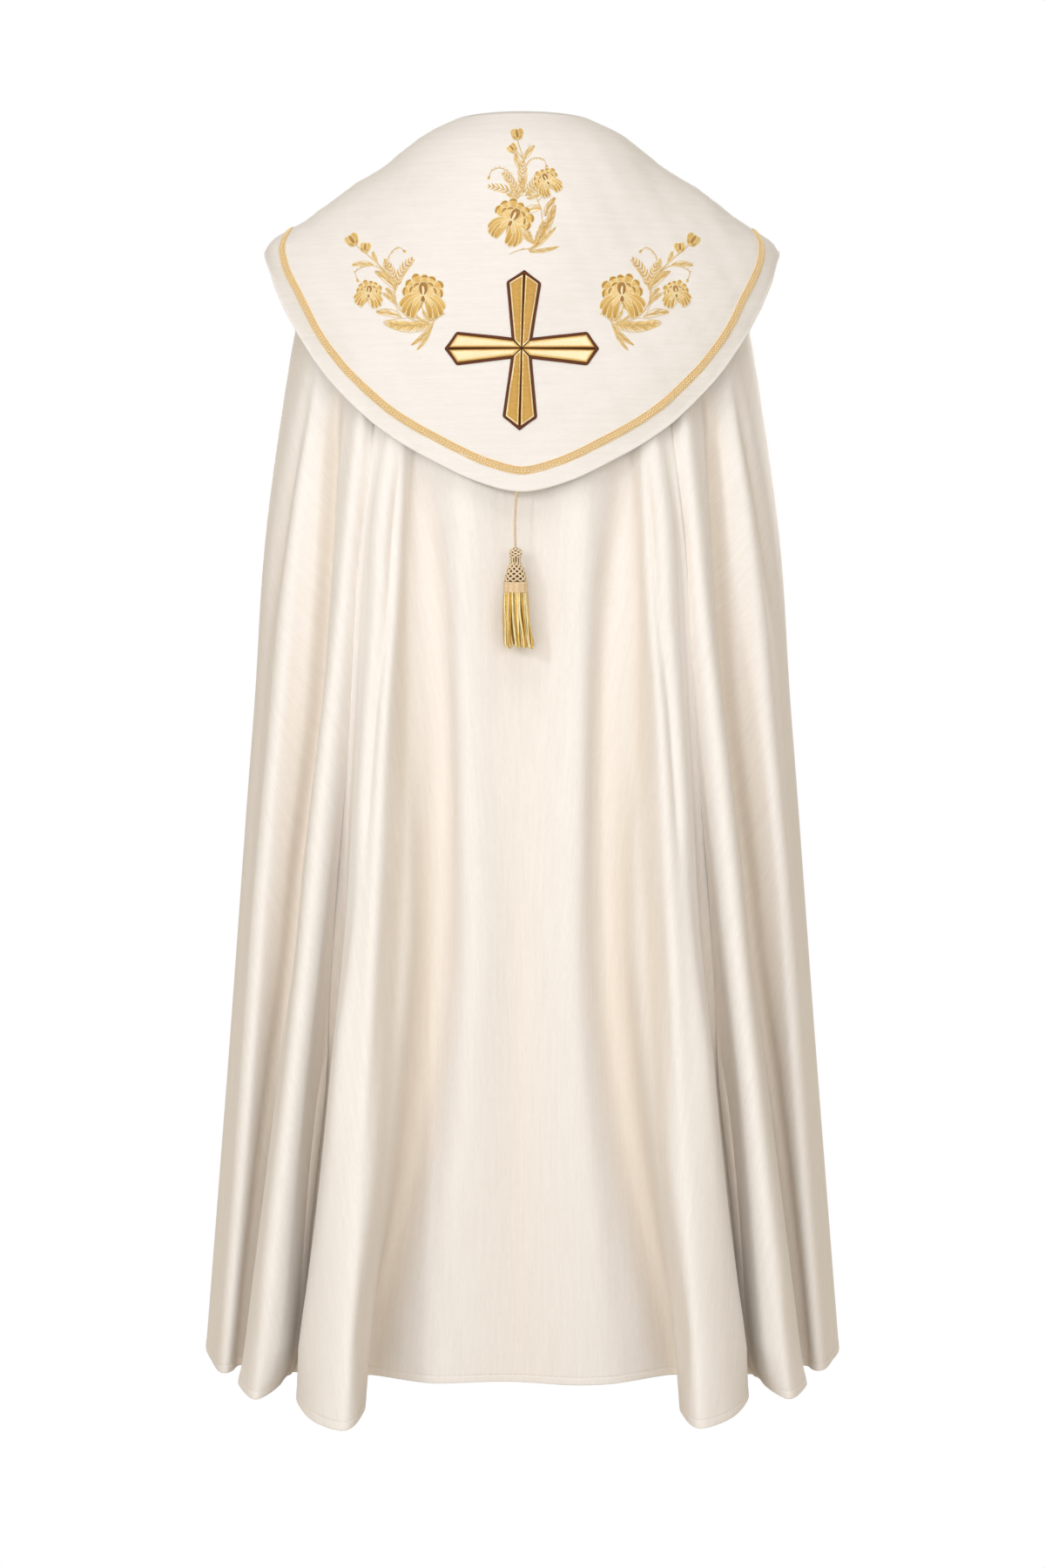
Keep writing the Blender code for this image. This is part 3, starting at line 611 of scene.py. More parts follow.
FRONT_CREASES = {
    "front_hollow": (-7.0, 11, 150, 60, 420, 478, 700, 474, 1000, 464, 1300, 452, 1570, 442),
    "front_ridge": (3.5, 10, 150, 120, 480, 508, 800, 500, 1200, 486, 1500, 474),
    "outer_crease": (-10.0, 10, 150, 60, 420, 416, 700, 404, 1000, 388, 1300, 368, 1570, 350),
    "outer_split": (-4.0, 6, 120, 200, 500, 378, 800, 360, 1100, 340, 1350, 322),
    "elbow_crease": (-10.0, 11, 120, 60, 420, 352, 700, 334, 1000, 312, 1300, 292, 1570, 278),
}
CREASE_FACING = 1.6       # creases are whole where the cloth faces back or front by more than 1 / this
SIDE_CHANGE = 0.03        # width of the change from the back's creases to the front's
HOLLOW_REACH = 90         # passes that even out the cloth around a crease
SHADE_START = 0.0014     # painted shade: a crease is painted darker from this far above the cloth around it
SHADE_DEPTH = 0.0095     # and takes the whole painted shade this much further down
MANTLE_ROUND = np.array((0.38, 0.27, 1e3))     # the half axes of the oval that the mantle stands on
SIDE_SHADE_START = 0.15         # a fold's steep side is painted some shade too, once it turns this far from the oval
SIDE_SHADE_SHARE = 1.1          # as a share of the whole for each unit of turn
SIDE_SHADE_MOST = 0.65
SHOULDER_EASES = (        # where the shoulders' slope is lowered: distance aside, width and depth
    (0.150, 0.034, 0.0040),
    (0.248, 0.030, 0.0030),
)
SHOULDER_DEEP = 0.10      # from front to back
CAPE_WAVES = (            # height, then waves across and down and a shift, for each sine of the product
    (0.0009, (38, 21, 0)),
    (0.0006, (0, 57, 1)),
    (0.0005, (83, -64, 0)),
    (0.00046, (149, 37, 0), (-45, 131, 0)),
    (0.00018, (290, -61, 0), (83, 253, 0)),
)
CAPE_CALM = 0.1           # from the neck down to where the waves are whole


def seen_at(points):
    """Where points would be in the photograph, were they on its left half, in pixels."""
    away = CAMERA_PLACE[1] - np.abs(points[..., 1])
    rise = points[..., 2] - CAMERA_PLACE[2]
    depth = away * cos(CAMERA_PITCH) - rise * sin(CAMERA_PITCH)
    up = away * sin(CAMERA_PITCH) + rise * cos(CAMERA_PITCH)
    per_metre = PHOTO_SIZE[1] * CAMERA_LENS / CAMERA_SENSOR / depth
    return PHOTO_SIZE[0] / 2 - np.abs(points[..., 0]) * per_metre, PHOTO_SIZE[1] / 2 - up * per_metre


def crease_rise(points, creases):
    """How far creases lift a net of points off its sheet, in metres."""
    across, down = seen_at(points)
    rise = 0.0
    for height, width, fade_in, fade_out, *places in creases.values():
        rows, columns = np.reshape(places, (-1, 2)).T.astype(float)
        track = curve_points(rows, columns, np.clip(down.ravel(), rows[0], rows[-1])).reshape(down.shape)
        start = np.clip((down - rows[0]) / fade_in, 0, 1)
        end = np.clip((rows[-1] + fade_out * 0.5 - down) / fade_out, 0, 1)
        near = np.exp(-((across - track) / width) ** 2)
        rise = rise + height * 0.001 * (soft_step(start) * soft_step(end)) * near
    return rise


def evened(net):
    """A net's values evened out across each row."""
    for _ in range(HOLLOW_REACH):
        net = np.hstack([net[:, :1], (net[:, :-2] + 2 * net[:, 1:-1] + net[:, 2:]) / 4, net[:, -1:]])
    return net


def painted_shade_share(points, normals):
    """How much painted shade a net's cloth takes: the whole in a deep crease, and some on a steep side."""
    below = dot(evened(points) - points, normals)
    steep = 1 - dot(unit(points / MANTLE_ROUND ** 2), unit(normals * (1, 1, 0)))
    side = np.clip((steep - SIDE_SHADE_START) * SIDE_SHADE_SHARE, 0, SIDE_SHADE_MOST)
    return np.clip((below + SHADE_START) / SHADE_DEPTH + side, 0, 1)


def creased(points, normals):
    """A net of the mantle's points with its creases pressed in."""
    outward = unit(evened(normals))
    facing = np.clip(np.abs(outward[..., 1]) * CREASE_FACING, 0, 1)
    back = np.clip(points[..., 1] / SIDE_CHANGE + 0.5, 0, 1)
    rise = crease_rise(points, BACK_CREASES) * back + crease_rise(points, FRONT_CREASES) * (1 - back)
    return points + outward * (rise * facing)[..., None]


def shoulders_eased(points):
    """Points with the shoulders' slope straightened, from the neck to the hood's tips."""
    for aside, width, depth in SHOULDER_EASES:
        away = (np.abs(points[..., 0]) - aside) / width
        bump = np.exp(-away ** 2 - (points[..., 1] / SHOULDER_DEEP) ** 2)
        points = points - bump[..., None] * (0.0, 0.0, depth)
    return points


def cape_points(turns, lengths):
    """The hood's cloth as it lies: the cape with its shoulders eased, and slightly uneven."""
    points = shoulders_eased(CAPE.points(turns, lengths))
    x, z = points[..., 0], points[..., 2]
    soft = 0.0
    for wave, *sines in CAPE_WAVES:
        for across, down, shift in sines:
            wave = wave * np.sin(x * across + z * down + shift)
        soft = soft + wave
    return points + CAPE.normals(turns, lengths) * (soft * np.clip(lengths / CAPE_CALM, 0, 1))[..., None]


# ---- the mantle ----
CLOTH_HALF = 0.0007       # half the cloth's thickness
HEM_HALF = 0.0010         # and half the hem's
HEM_TURN = 0.0090         # width of the turned hem
# rows of points near the hem, by their distance from it
HEM_STEPS = (0.0130, 0.0098, 0.0091, 0.0083, 0.0060, 0.0030, 0.0012, 0.0005, 0.0001, 0.0)
HEM_ROOM = 0.022          # from the last even row to the hem
HEM_RAMP = 0.0008         # over which the cloth thickens into its hem
WAVER_REACH = 0.05        # how far up the hem's uneven line is felt
BODY_COLUMNS = 760
BODY_ROWS = 50
BODY_SPREAD = 1.25        # how much closer together the rows are at the neck
BACK_SHARE = 0.76         # of the columns, on the part that the photograph shows
FLAT_TURN = radians(61)   # half the turn of the flat cut round its neck
FLAT_NECK = 0.150         # and the radius of its neck


def body_columns():
    """Places across the mantle, closer together on the back than on the fronts."""
    split = MANTLE.across[len(FOLDS) - 1 + FOLD_NAMES.index("side_front")]
    back = int(BODY_COLUMNS * BACK_SHARE / 2)
    front = np.linspace(split, 1, BODY_COLUMNS // 2 - back + 1)
    return mirrored(np.concatenate([np.linspace(0, split, back, endpoint=False), front]))


def build_body():
    """The mantle, and the line that its hem's stitches follow."""
    last = MANTLE.down[-1]
    main = (last - HEM_ROOM) * np.linspace(0.0, 1.0, BODY_ROWS) ** BODY_SPREAD
    u, v = np.meshgrid(body_columns(), np.concatenate([main, last - np.array(HEM_STEPS)]))
    points = creased(MANTLE.points(u, v), MANTLE.normals(u, v))
    to_hem = last - v
    waver = 0.0016 * np.sin(u * 23.0 + 1.0) + 0.0011 * np.sin(u * 51.0)
    points = shoulders_eased(points + (waver * np.exp(-to_hem / WAVER_REACH))[..., None] * (0.0, 0.0, 1.0))
    normals = net_normals(points)
    half = CLOTH_HALF + (HEM_HALF - CLOTH_HALF) * np.clip((HEM_TURN - to_hem) / HEM_RAMP, 0, 1)
    rounded = np.sqrt(np.maximum(half ** 2 - (HEM_HALF - to_hem) ** 2, 1e-9))
    thick = normals * np.where(to_hem < HEM_HALF, rounded, half)[..., None]
    angle = u * FLAT_TURN
    cut = np.stack([(FLAT_NECK + v) * np.sin(angle), -(FLAT_NECK + v) * np.cos(angle)], axis=-1)
    # each point's tone is its share of painted shade
    part = wall(points + thick, points - thick, cut, painted_shade_share(points, normals))
    seam = int(np.argmin(np.abs(to_hem[:, 0] - HEM_TURN - 0.0006)))
    return add_part("mantle_cloth", part, CLOTH_BODY, "cope_body"), points[seam] + normals[seam] * CLOTH_HALF


def stitches(line, pitch, long, thick):
    """Short stitches along a line on cloth."""
    runs = running_length(line)
    parts = []
    radius = thick * np.array([0.5, 1.0, 1.0, 0.5])
    for start in np.arange(0.003, runs[-1] - pitch, pitch):
        path = points_along(line, runs, start + np.linspace(0, long, 4))
        parts.append(tube(path, radius, 5, tone=0.6 + 0.3 * sin(start * 900)))
    return merged(parts)


CLOTH_BODY = cloth_material("ivory_body_cloth", True)
CLOTH_HOOD = cloth_material("ivory_hood_cloth", False, HOOD_PAINTED_SHADE)
STITCH_STOPS = ((0.0, (0.62, 0.54, 0.44)), (1.0, (0.84, 0.78, 0.69)))
STITCH_THREAD = thread_material("stitch_thread", STITCH_STOPS, 0.0003, roughness=0.5, metallic=0.0)
body, hem_line = build_body()
hem_stitching = add_part(
    "hem_stitching", stitches(hem_line, 0.0032, 0.0025, 0.00032), STITCH_THREAD, slot="cope_body")

# ---- the hood ----
HOOD_COLUMNS = 300
HOOD_ROWS = 70
HOOD_HALF = 0.0008        # half the cloth's thickness
HOOD_EDGE_HALF = 0.0014   # and half the edge's
HOOD_EDGE_ROOM = 0.009    # from the last even row to the edge
HOOD_EDGE_TURN = 0.007    # width of the fuller edge
HOOD_EDGE_RAMP = 0.005    # over which the cloth thickens into it
HOOD_EDGE_STEPS = np.array((0.0060, 0.0040, 0.0028, 0.0020, 0.0014, 0.0009, 0.0005, 0.0002, 0.0))


def build_hood():
    """The hood's cloth, with a fuller, rounded edge."""
    turns = np.linspace(-1.0, 1.0, HOOD_COLUMNS + 1)
    length = ray_values(turns, HOOD_LENGTHS)
    main = np.linspace(0.0, 1.0, HOOD_ROWS)[:, None] * (length - HOOD_EDGE_ROOM)
    down = np.concatenate([main, length - HOOD_EDGE_STEPS[:, None]])
    points = cape_points(np.broadcast_to(turns, down.shape), down)
    to_edge = length - down
    fuller = soft_step(np.clip((HOOD_EDGE_TURN - to_edge) / HOOD_EDGE_RAMP, 0, 1))
    half = HOOD_HALF + (HOOD_EDGE_HALF - HOOD_HALF) * fuller
    inside = np.minimum(to_edge / HOOD_EDGE_HALF, 1.0)
    rounded = HOOD_EDGE_HALF * np.sqrt(np.maximum(1 - (1 - inside) ** 2, 1e-4))
    thick = net_normals(points) * np.where(to_edge < HOOD_EDGE_HALF, rounded, half)[..., None]
    return add_part("hood_cloth", wall(points + thick, points - thick, points[..., ::2]), CLOTH_HOOD, "hood")


hood = build_hood()
HOOD_TREE = surface_of(hood)

GOLD_STOPS = (
    (0.00, (0.370, 0.175, 0.040)),
    (0.30, (0.570, 0.345, 0.085)),
    (0.60, (0.790, 0.545, 0.185)),
    (1.00, (0.960, 0.860, 0.570)),
)
BROWN_STOPS = (
    (0.00, (0.055, 0.020, 0.008)),
    (1.00, (0.128, 0.045, 0.024)),
)
BEIGE_STOPS = (
    (0.00, (0.110, 0.060, 0.028)),
    (0.50, (0.740, 0.570, 0.350)),
    (1.00, (0.950, 0.830, 0.630)),
)
BRAID_STOPS = (
    (0.00, (0.540, 0.310, 0.090)),
    (0.50, (0.840, 0.575, 0.240)),
    (1.00, (0.985, 0.830, 0.530)),
)
FRINGE_STOPS = (
    (0.00, (0.280, 0.130, 0.015)),
    (0.35, (0.640, 0.380, 0.060)),
    (0.70, (0.950, 0.680, 0.200)),
    (1.00, (1.000, 0.880, 0.520)),
)
GOLD_THREAD = thread_material("gold_thread", GOLD_STOPS, 0.0005)
BROWN_THREAD = thread_material(
    "brown_thread", BROWN_STOPS, 0.0006, roughness=0.6, metallic=0.0, gloss=0.06)
BRAID_THREAD = thread_material("braid_thread", BRAID_STOPS, 0.0004, roughness=0.42, metallic=0.15)
SPRAY_THREAD = thread_material("spray_thread", GOLD_STOPS, 0.0004, roughness=0.36, metallic=0.2, grain=0.2)
TASSEL_THREAD = thread_material("tassel_thread", BEIGE_STOPS, 0.0005, roughness=0.5, metallic=0.1)
FRINGE_THREAD = thread_material(
    "fringe_thread", FRINGE_STOPS, 0.0004, roughness=0.24, metallic=0.75, gloss=0.5)
CORD_THREAD = thread_material("cord_thread", BEIGE_STOPS, 0.0005, roughness=0.4, metallic=0.2, grain=0.5)

# ---- the braid round the hood ----
BRAID_STEP = 0.003        # between places along the braid
BRAID_PITCH = 0.0039      # one loop of its raised cord
BRAID_LOOP = 0.0024       # how far its loops reach aside
BRAID_CORD = 0.00058      # its radius
BRAID_HALF = 0.0041
BRAID_EDGE = 0.00075      # radius of the cords along the edges
BRAID_GROUND = 0.0004     # height of the woven ground over the hood
BRAID_SWING = 0.85        # how far a loop swings along the braid, as a share of its reach aside


def build_braid():
    """A woven ground, a raised cord in loops and a cord along each edge, on a line inside the hood's edge."""
    turns = np.linspace(-1.0, 1.0, 1201)
    turn, length = inset_places(turns, ray_values(turns, BRAID_INSETS))
    runs = running_length(cape_points(turn, length))
    end = runs[-1]
    stops = np.linspace(0.0, end, int(end / BRAID_STEP) + 1)
    turn, length = np.interp(stops, runs, turn), np.interp(stops, runs, length)
    line, out = cape_points(turn, length), CAPE.normals(turn, length)
    aside = unit(np.cross(np.gradient(line, axis=0), out))

    def places(runs, off, high):
        """Points at distances along the line, off to its side and above the middle of the cloth."""
        middle, ways, facing = (points_along(each, stops, runs) for each in (line, aside, out))
        return middle + ways * np.reshape(off, (-1, 1)) + facing * np.reshape(high, (-1, 1))

    across = np.linspace(-1, 1, 7)
    top = np.stack([places(stops, BRAID_HALF * t, HOOD_HALF + BRAID_GROUND * (1.2 - t * t)) for t in across])
    low = np.stack([places(stops, BRAID_HALF * t, HOOD_HALF * 0.2) for t in across])
    uv = np.stack(np.meshgrid(across * BRAID_HALF, stops, indexing="ij")[::-1], axis=-1)
    parts = [wall(top, low, uv, 0.44, flip=True)]
    loops = int(end / BRAID_PITCH)
    steps = np.linspace(0, loops, loops * 13 + 1)
    wave = np.sin(tau * steps)
    wobble = 1 + 0.08 * np.sin(steps * 1.7) + 0.05 * np.sin(steps * 0.41)
    along = np.clip(steps * end / loops - BRAID_LOOP * BRAID_SWING * wave, 0, end)
    high = HOOD_HALF + BRAID_GROUND + 0.0005 + 0.00025 * wave
    looped = places(along, BRAID_LOOP * wobble * np.cos(tau * steps), high)
    parts.append(tube(looped, BRAID_CORD, 5, tone=1.0))
    for hand in (-1, 1):
        along = np.arange(0.0, end, 0.0016)
        waver = BRAID_EDGE * 0.35 * np.sin(along * tau / BRAID_PITCH)
        edge = places(along, hand * (BRAID_HALF - 0.0002 + waver), HOOD_HALF + 0.0003)
        parts.append(tube(edge, BRAID_EDGE, 6, tone=0.76))
    return add_part("hood_braid", merged(parts), BRAID_THREAD, "hood_galloon")


braid = build_braid()

# ---- the cross ----
Arm = namedtuple("Arm", "clock length shoulder shoulder_half")
CROSS_CENTRE = np.array([0.001, -0.2715])
CROSS_ARMS = (
    Arm(2.0, 0.0870, 0.0735, 0.0195),
    Arm(90.0, 0.0865, 0.0735, 0.0190),
    Arm(181.5, 0.0910, 0.0765, 0.0195),
    Arm(270.0, 0.0860, 0.0725, 0.0190),
)
CROSS_NECK_HALF = 0.0115
CROSS_RIM = 0.0034
CROSS_POINT_RIM = 0.0048
CROSS_SHOULDER_RIM = 0.0010
CROSS_GROOVE = 0.0011
CROSS_ROOT = 0.0011
CROSS_ROOT_GROOVE = 0.0005
GROUND_HIGH = 0.0010      # brown ground over the hood
BORDER_HALF = 0.0017
BORDER_HIGH = 0.0010
BORDER_ROUND = 0.0006     # how far the border's corners are drawn in
BORDER_STEP = 0.0011
FACET_HIGH = 0.0015       # padding of the satin over the ground
FACET_LOW = GROUND_HIGH - 0.0002
FACET_SHOULDER = 0.0024   # width of the facet's rounded sides
FACET_CROWN = 0.007       # and of the slower rise inside them
FACET_SIDE_SHADE = 0.0045       # how far an upright facet's painted shade reaches in from its sides
PALE_EDGE = 0.0014        # width of the pale thread round a facet
GROOVE_SHADE = 0.0011     # width of the painted shade beside an arm's groove


def arm_places(arm, along, aside):
    """Places of an arm in X and Z."""
    angle = radians(arm.clock)
    reach = np.array([-sin(angle), cos(angle)])
    across = np.array([-cos(angle), -sin(angle)])
    return CROSS_CENTRE + np.multiply.outer(along, reach) + np.multiply.outer(aside, across)


def ground_part(arm):
    """The brown ground of one arm."""
    along = np.concatenate([np.linspace(0.0, arm.shoulder, 40), np.linspace(arm.shoulder, arm.length, 8)[1:]])
    stops = (0, CROSS_NECK_HALF, arm.shoulder, arm.length)
    half = np.interp(along, stops, (0.0012, CROSS_NECK_HALF + 0.0006, arm.shoulder_half, 0.0004))
    a, t = np.meshgrid(along, np.linspace(-1, 1, 13), indexing="ij")
    aside = t * half[:, None]
    uv = np.stack([a, aside], axis=-1)
    return padded_net(arm_places(arm, a, aside * 0.97), np.full(a.shape, GROUND_HIGH), uv, 0.0, under=0.0)


def outline_of_cross():
    """The cross's outline, inset by the border's half width, with rounded corners."""
    corners = []
    neck = CROSS_NECK_HALF - BORDER_HALF
    for arm in CROSS_ARMS:
        side = arm.shoulder_half - BORDER_HALF
        shoulder = arm.shoulder - BORDER_ROUND
        bends = ((neck, -neck), (shoulder, -side), (arm.length - 0.0024, 0.0), (shoulder, side))
        corners += [arm_places(arm, *bend) for bend in bends]
    line = []
    for start, end in zip(corners, corners[1:] + corners[:1]):
        count = max(int(np.linalg.norm(end - start) / BORDER_STEP), 3)
        line += [start + (end - start) * i / count for i in range(count)]
    for _ in range(2):
        line = (np.roll(line, 1, axis=0) + np.multiply(line, 2) + np.roll(line, -1, axis=0)) / 4
    return line


def facet_corners(arm, hand):
    """A facet's root, inner corner, shoulder and tip, along the arm and aside from it."""
    flare = (arm.shoulder_half - CROSS_NECK_HALF) / (arm.shoulder - CROSS_NECK_HALF)
    neck = CROSS_NECK_HALF - CROSS_RIM
    shoulder = arm.shoulder_half - CROSS_RIM - flare * CROSS_SHOULDER_RIM
    return np.array([
        (CROSS_ROOT, CROSS_ROOT_GROOVE * hand),
        (neck + 2 * CROSS_ROOT_GROOVE, neck * hand),
        (arm.shoulder - CROSS_SHOULDER_RIM, shoulder * hand),
        (arm.length - CROSS_POINT_RIM, CROSS_GROOVE * hand),
    ])


def facet_part(arm, hand, upright):
    """One padded half of an arm in satin stitch. The threads run across the arm, and its tones hold painted
    sheen and shade.
    """
    loop = facet_corners(arm, hand)
    root, inner, shoulder, tip = loop
    s, t = (1 - np.cos(np.linspace(0, pi, 61))) / 2, (1 - np.cos(np.linspace(0, pi, 17))) / 2
    s, t = np.meshgrid(s[::-1] if hand > 0 else s, t, indexing="ij")
    flat = (
        np.multiply.outer((1 - s) * (1 - t), root) + np.multiply.outer((1 - s) * t, inner)
        + np.multiply.outer(s * (1 - t), tip) + np.multiply.outer(s * t, shoulder)
    )
    distances = []
    for start, end in zip(loop, np.roll(loop, -1, axis=0)):
        way = unit(end - start)
        offset = flat - start
        distances.append(np.abs(offset[..., 0] * way[1] - offset[..., 1] * way[0]))
    nearest = np.minimum.reduce(distances)
    dome = np.sqrt(1 - (1 - np.clip(nearest / FACET_SHOULDER, 0, 1)) ** 2)
    heights = FACET_LOW + FACET_HIGH * (0.75 * dome + 0.25 * np.clip(nearest / FACET_CROWN, 0, 1))
    # painted light: upright arms are mid-gold with painted shade near their sides; arms across are painted
    # paler, as their threads catch more light, with a painted highlight down their middle and painted shade
    # at their edges
    if upright:
        ragged = PALE_EDGE * (1 + 0.08 * np.sin(s * 61 + t * 4) + 0.08 * np.sin(s * 143))
        edge = np.clip((ragged - nearest) / 0.0005 + 0.5, 0, 1)
        tone = 0.30 + 0.85 * edge - 0.16 * (1 - edge) * np.clip(1 - nearest / FACET_SIDE_SHADE, 0, 1)
    else:
        tone = 0.42 + 0.66 * np.clip((nearest - 0.0005) / 0.0030, 0, 1)
    # painted shade beside the groove
    tone = tone - 1.2 * np.clip(1 - distances[-1] / GROOVE_SHADE, 0, 1)
    return padded_net(arm_places(arm, flat[..., 0], flat[..., 1]), heights, flat, tone, under=FACET_LOW)


def build_cross():
    """Eight padded facets of satin stitch on a brown ground with a raised border."""
    border = strand(outline_of_cross(), BORDER_HALF, BORDER_HIGH, GROUND_HIGH * 0.7, 8, closed=True, tone=1.0)
    ground = merged([ground_part(arm) for arm in CROSS_ARMS] + [border])
    pieces = [add_part("cross_border", laid_along_y(ground, HOOD_TREE), BROWN_THREAD, "cross_ground")]
    for i, arm in enumerate(CROSS_ARMS):
        for hand in (-1, 1):
            facet = laid_along_y(facet_part(arm, hand, upright=i % 2 == 0), HOOD_TREE)
            number = len(pieces)
            pieces.append(add_part("cross_facet_%d" % number, facet, GOLD_THREAD, "cross_satin_%d" % number))
    return pieces


cross = build_cross()

# ---- flower sprays: places and sizes in pixels of the photograph, headings in degrees from its right ----
PIXEL = 0.00098           # metres on the hood
PETAL_HIGH = 0.0006
OUTLINE_HALF = 0.45       # half width of a petal's outline, in pixels
OUTLINE_HIGH = 0.0004
RIB_HIGH = 0.0004         # of a stem's or a rib's thread
LEAF_GAP = 3.4            # between a leaf's stitches, in pixels
LEAF_SLANT = 28           # of its stitches from its rib, in degrees
PLUME_SLANT = 46          # of a plume's barbs from its rib
Leaf = namedtuple("Leaf", "x y heading length width bend tone")
Plume = namedtuple("Plume", "x y heading length bend barb barbs tone")
Bloom = namedtuple("Bloom", "x y size heading spread")
Bud = namedtuple("Bud", "x y size heading")
Stem = namedtuple("Stem", "places half")
Tendril = namedtuple("Tendril", "places dots")
BLOOM_BACK = 95           # petals that turn further than this are behind the flower
BLOOM_SPREAD = 88         # the spread that the others' turns are given for
# a flower's petals: turn and bend in degrees, length, width, tone and fade in hundredths, lift in 0.1 mm
BLOOM_LAYERS = (
    (98, 8, 76, 36, 50, 24, 0),
    (-100, -8, 80, 38, 44, 24, 0),
    (124, 0, 86, 38, 42, 24, 0),
    (-128, 0, 82, 36, 50, 24, 0),
    (152, 0, 80, 32, 50, 24, 0),
    (-156, 0, 86, 34, 40, 24, 0),
    (177, 0, 78, 30, 46, 24, 0),
    (112, 0, 56, 30, 62, 30, 3),
    (-114, 0, 58, 30, 56, 30, 3),
    (146, 0, 58, 28, 54, 30, 3),
    (-144, 0, 54, 28, 62, 30, 3),
    (90, -62, 98, 27, 80, -36, 3),
    (-94, 66, 100, 28, 72, -36, 3),
    (72, -56, 106, 26, 68, -38, 4),
    (-75, 58, 105, 26, 76, -38, 4),
    (54, -46, 104, 25, 76, -40, 5),
    (-57, 48, 102, 25, 66, -40, 5),
    (36, -34, 94, 22, 70, -40, 6),
    (-40, 34, 96, 23, 78, -40, 6),
    (62, -40, 52, 14, 94, -20, 9),
    (-60, 40, 54, 14, 88, -20, 9),
    (14, 74, 92, 5, 55, 10, 2),
    (-12, -66, 98, 5, 62, 10, 2),
    (4, -52, 74, 6, 45, 10, 3),
    (-22, 60, 72, 4.5, 58, 10, 2),
    (2, 0, 27, 17, 2, 10, 10),
)


def bent_line(x, y, heading, length, bend, count):
    """A line that leaves a place at a heading and bends evenly, and the share of its length at each point."""
    shares = (1 - np.cos(np.linspace(0, pi, count))) / 2
    angles = np.radians(heading + bend * (shares[1:] + shares[:-1]) / 2)
    steps = np.diff(shares) * length
    moves = np.stack([np.cos(angles) * steps, -np.sin(angles) * steps], axis=1)
    return np.concatenate([[(x, y)], (x, y) + np.cumsum(moves, axis=0)]), shares


def smooth_line(places, count):
    """A smooth line through a few places."""
    places = np.asarray(places, float)
    runs = running_length(places)
    return curve_points(runs, places, np.linspace(0, runs[-1], count))


def heading_of(way):
    """The heading of a way on the photograph, in degrees."""
    return degrees(atan2(-way[1], way[0]))


def aimed(place, heading, length):
    """The place at a length from another, along a heading."""
    angle = radians(heading)
    return place[0] + length * cos(angle), place[1] - length * sin(angle)


def thread(line, half, high, lift, tone, closed=False):
    """A fine raised line of thread, drawn in pixels."""
    return strand(line, half, high, lift, 5, closed, tone, PIXEL)


def petal(place, heading, length, width, bend=0.0, tone=0.5, round_by=2.2, fat=1.35, lift=0.0, furrow=0.0,
          outline=1.05, columns=7, count=13, fade=0.26):
    """A padded petal in satin stitch, with a raised outline."""
    line, shares = bent_line(*place, heading, length, bend, count)
    half = width / 2 * np.maximum(1 - np.abs(2 * shares ** fat - 1) ** round_by, 0) ** (1 / round_by) + 0.06
    t = np.linspace(-1, 1, columns)
    aside = half[:, None] * t
    flat = line[:, None] + aside_of(line)[:, None] * aside[..., None]
    dome = np.sqrt(1 - (0.93 * t) ** 2) * (1 - furrow * np.exp(-(t / 0.25) ** 2))
    heights = lift + PETAL_HIGH * dome * np.minimum(half / 1.6, 1.0)[:, None]
    shade = tone - 0.06 + fade * shares[:, None] + 0.10 * t ** 2 - 0.18 * furrow * (np.abs(t) < 0.2)
    uv = np.stack(np.broadcast_arrays(aside * PIXEL, shares[:, None] * length * PIXEL), axis=-1)
    parts = [padded_net(flat, heights, uv, shade)]
    if outline:
        rim = np.concatenate([flat[:, 0], flat[::-1, -1]])
        parts.append(thread(rim, OUTLINE_HALF, OUTLINE_HIGH, lift + 0.0002, outline, closed=True))
    return parts


def barb(*shape, count):
    """A single stitch: a thin petal with no outline."""
    return petal(*shape, outline=0.0, columns=3, count=count)


def draw_leaf(leaf):
    """A pointed leaf: slanted stitches from a rib out to a thin outline, with cloth between them."""
    line, shares = bent_line(leaf.x, leaf.y, leaf.heading, leaf.length, leaf.bend, 19)
    half = leaf.width / 2 * np.maximum(1 - np.abs(2 * shares ** 0.9 - 1) ** 1.5, 0) ** (1 / 1.5) + 0.05
    aside = aside_of(line) * half[:, None]
    rim = np.concatenate([line + aside, (line - aside)[::-1]])
    parts = [
        thread(rim, 0.42, 0.0003, 0.0002, leaf.tone + 0.30, closed=True),
        thread(line[:-2], 0.42, RIB_HIGH, 0.0003, leaf.tone + 0.1),
    ]
    count = max(int(leaf.length / LEAF_GAP), 3)
    for i in range(count):
        share = 0.04 + 0.84 * (i + 0.5) / count
        x, y, reach = (np.interp(share, shares, values) for values in (*line.T, half))
        for hand in (1, -1):
            heading = leaf.heading + leaf.bend * share + hand * LEAF_SLANT
            tone = leaf.tone + 0.16 + 0.16 * sin(i * 1.7 + hand)
            parts += barb((x, y), heading, reach * 1.5 + 1.5, 1.15, -hand * 12, tone, 1.8, 1.0, count=7)
    return parts


def draw_plume(plume):
    """A feathered leaf: barbs that lean forward from a rib."""
    line, shares = bent_line(plume.x, plume.y, plume.heading, plume.length, plume.bend, 17)
    parts = [thread(line, 0.5 * (1.2 - shares) + 0.15, RIB_HIGH, 0.0004, 0.75)]
    for i in range(plume.barbs):
        share = (i + 0.6) / plume.barbs
        place = [np.interp(share, shares, values) for values in line.T]
        reach = plume.barb * sin(pi * (0.18 + 0.74 * share)) ** 0.8
        for hand in (1, -1):
            heading = plume.heading + plume.bend * share + hand * PLUME_SLANT
            tone = plume.tone + 0.12 * sin(i * 2.3 + hand)
            parts += barb(place, heading, reach, 1.9, -hand * 24, tone, 1.6, 0.9, count=8)
    return parts


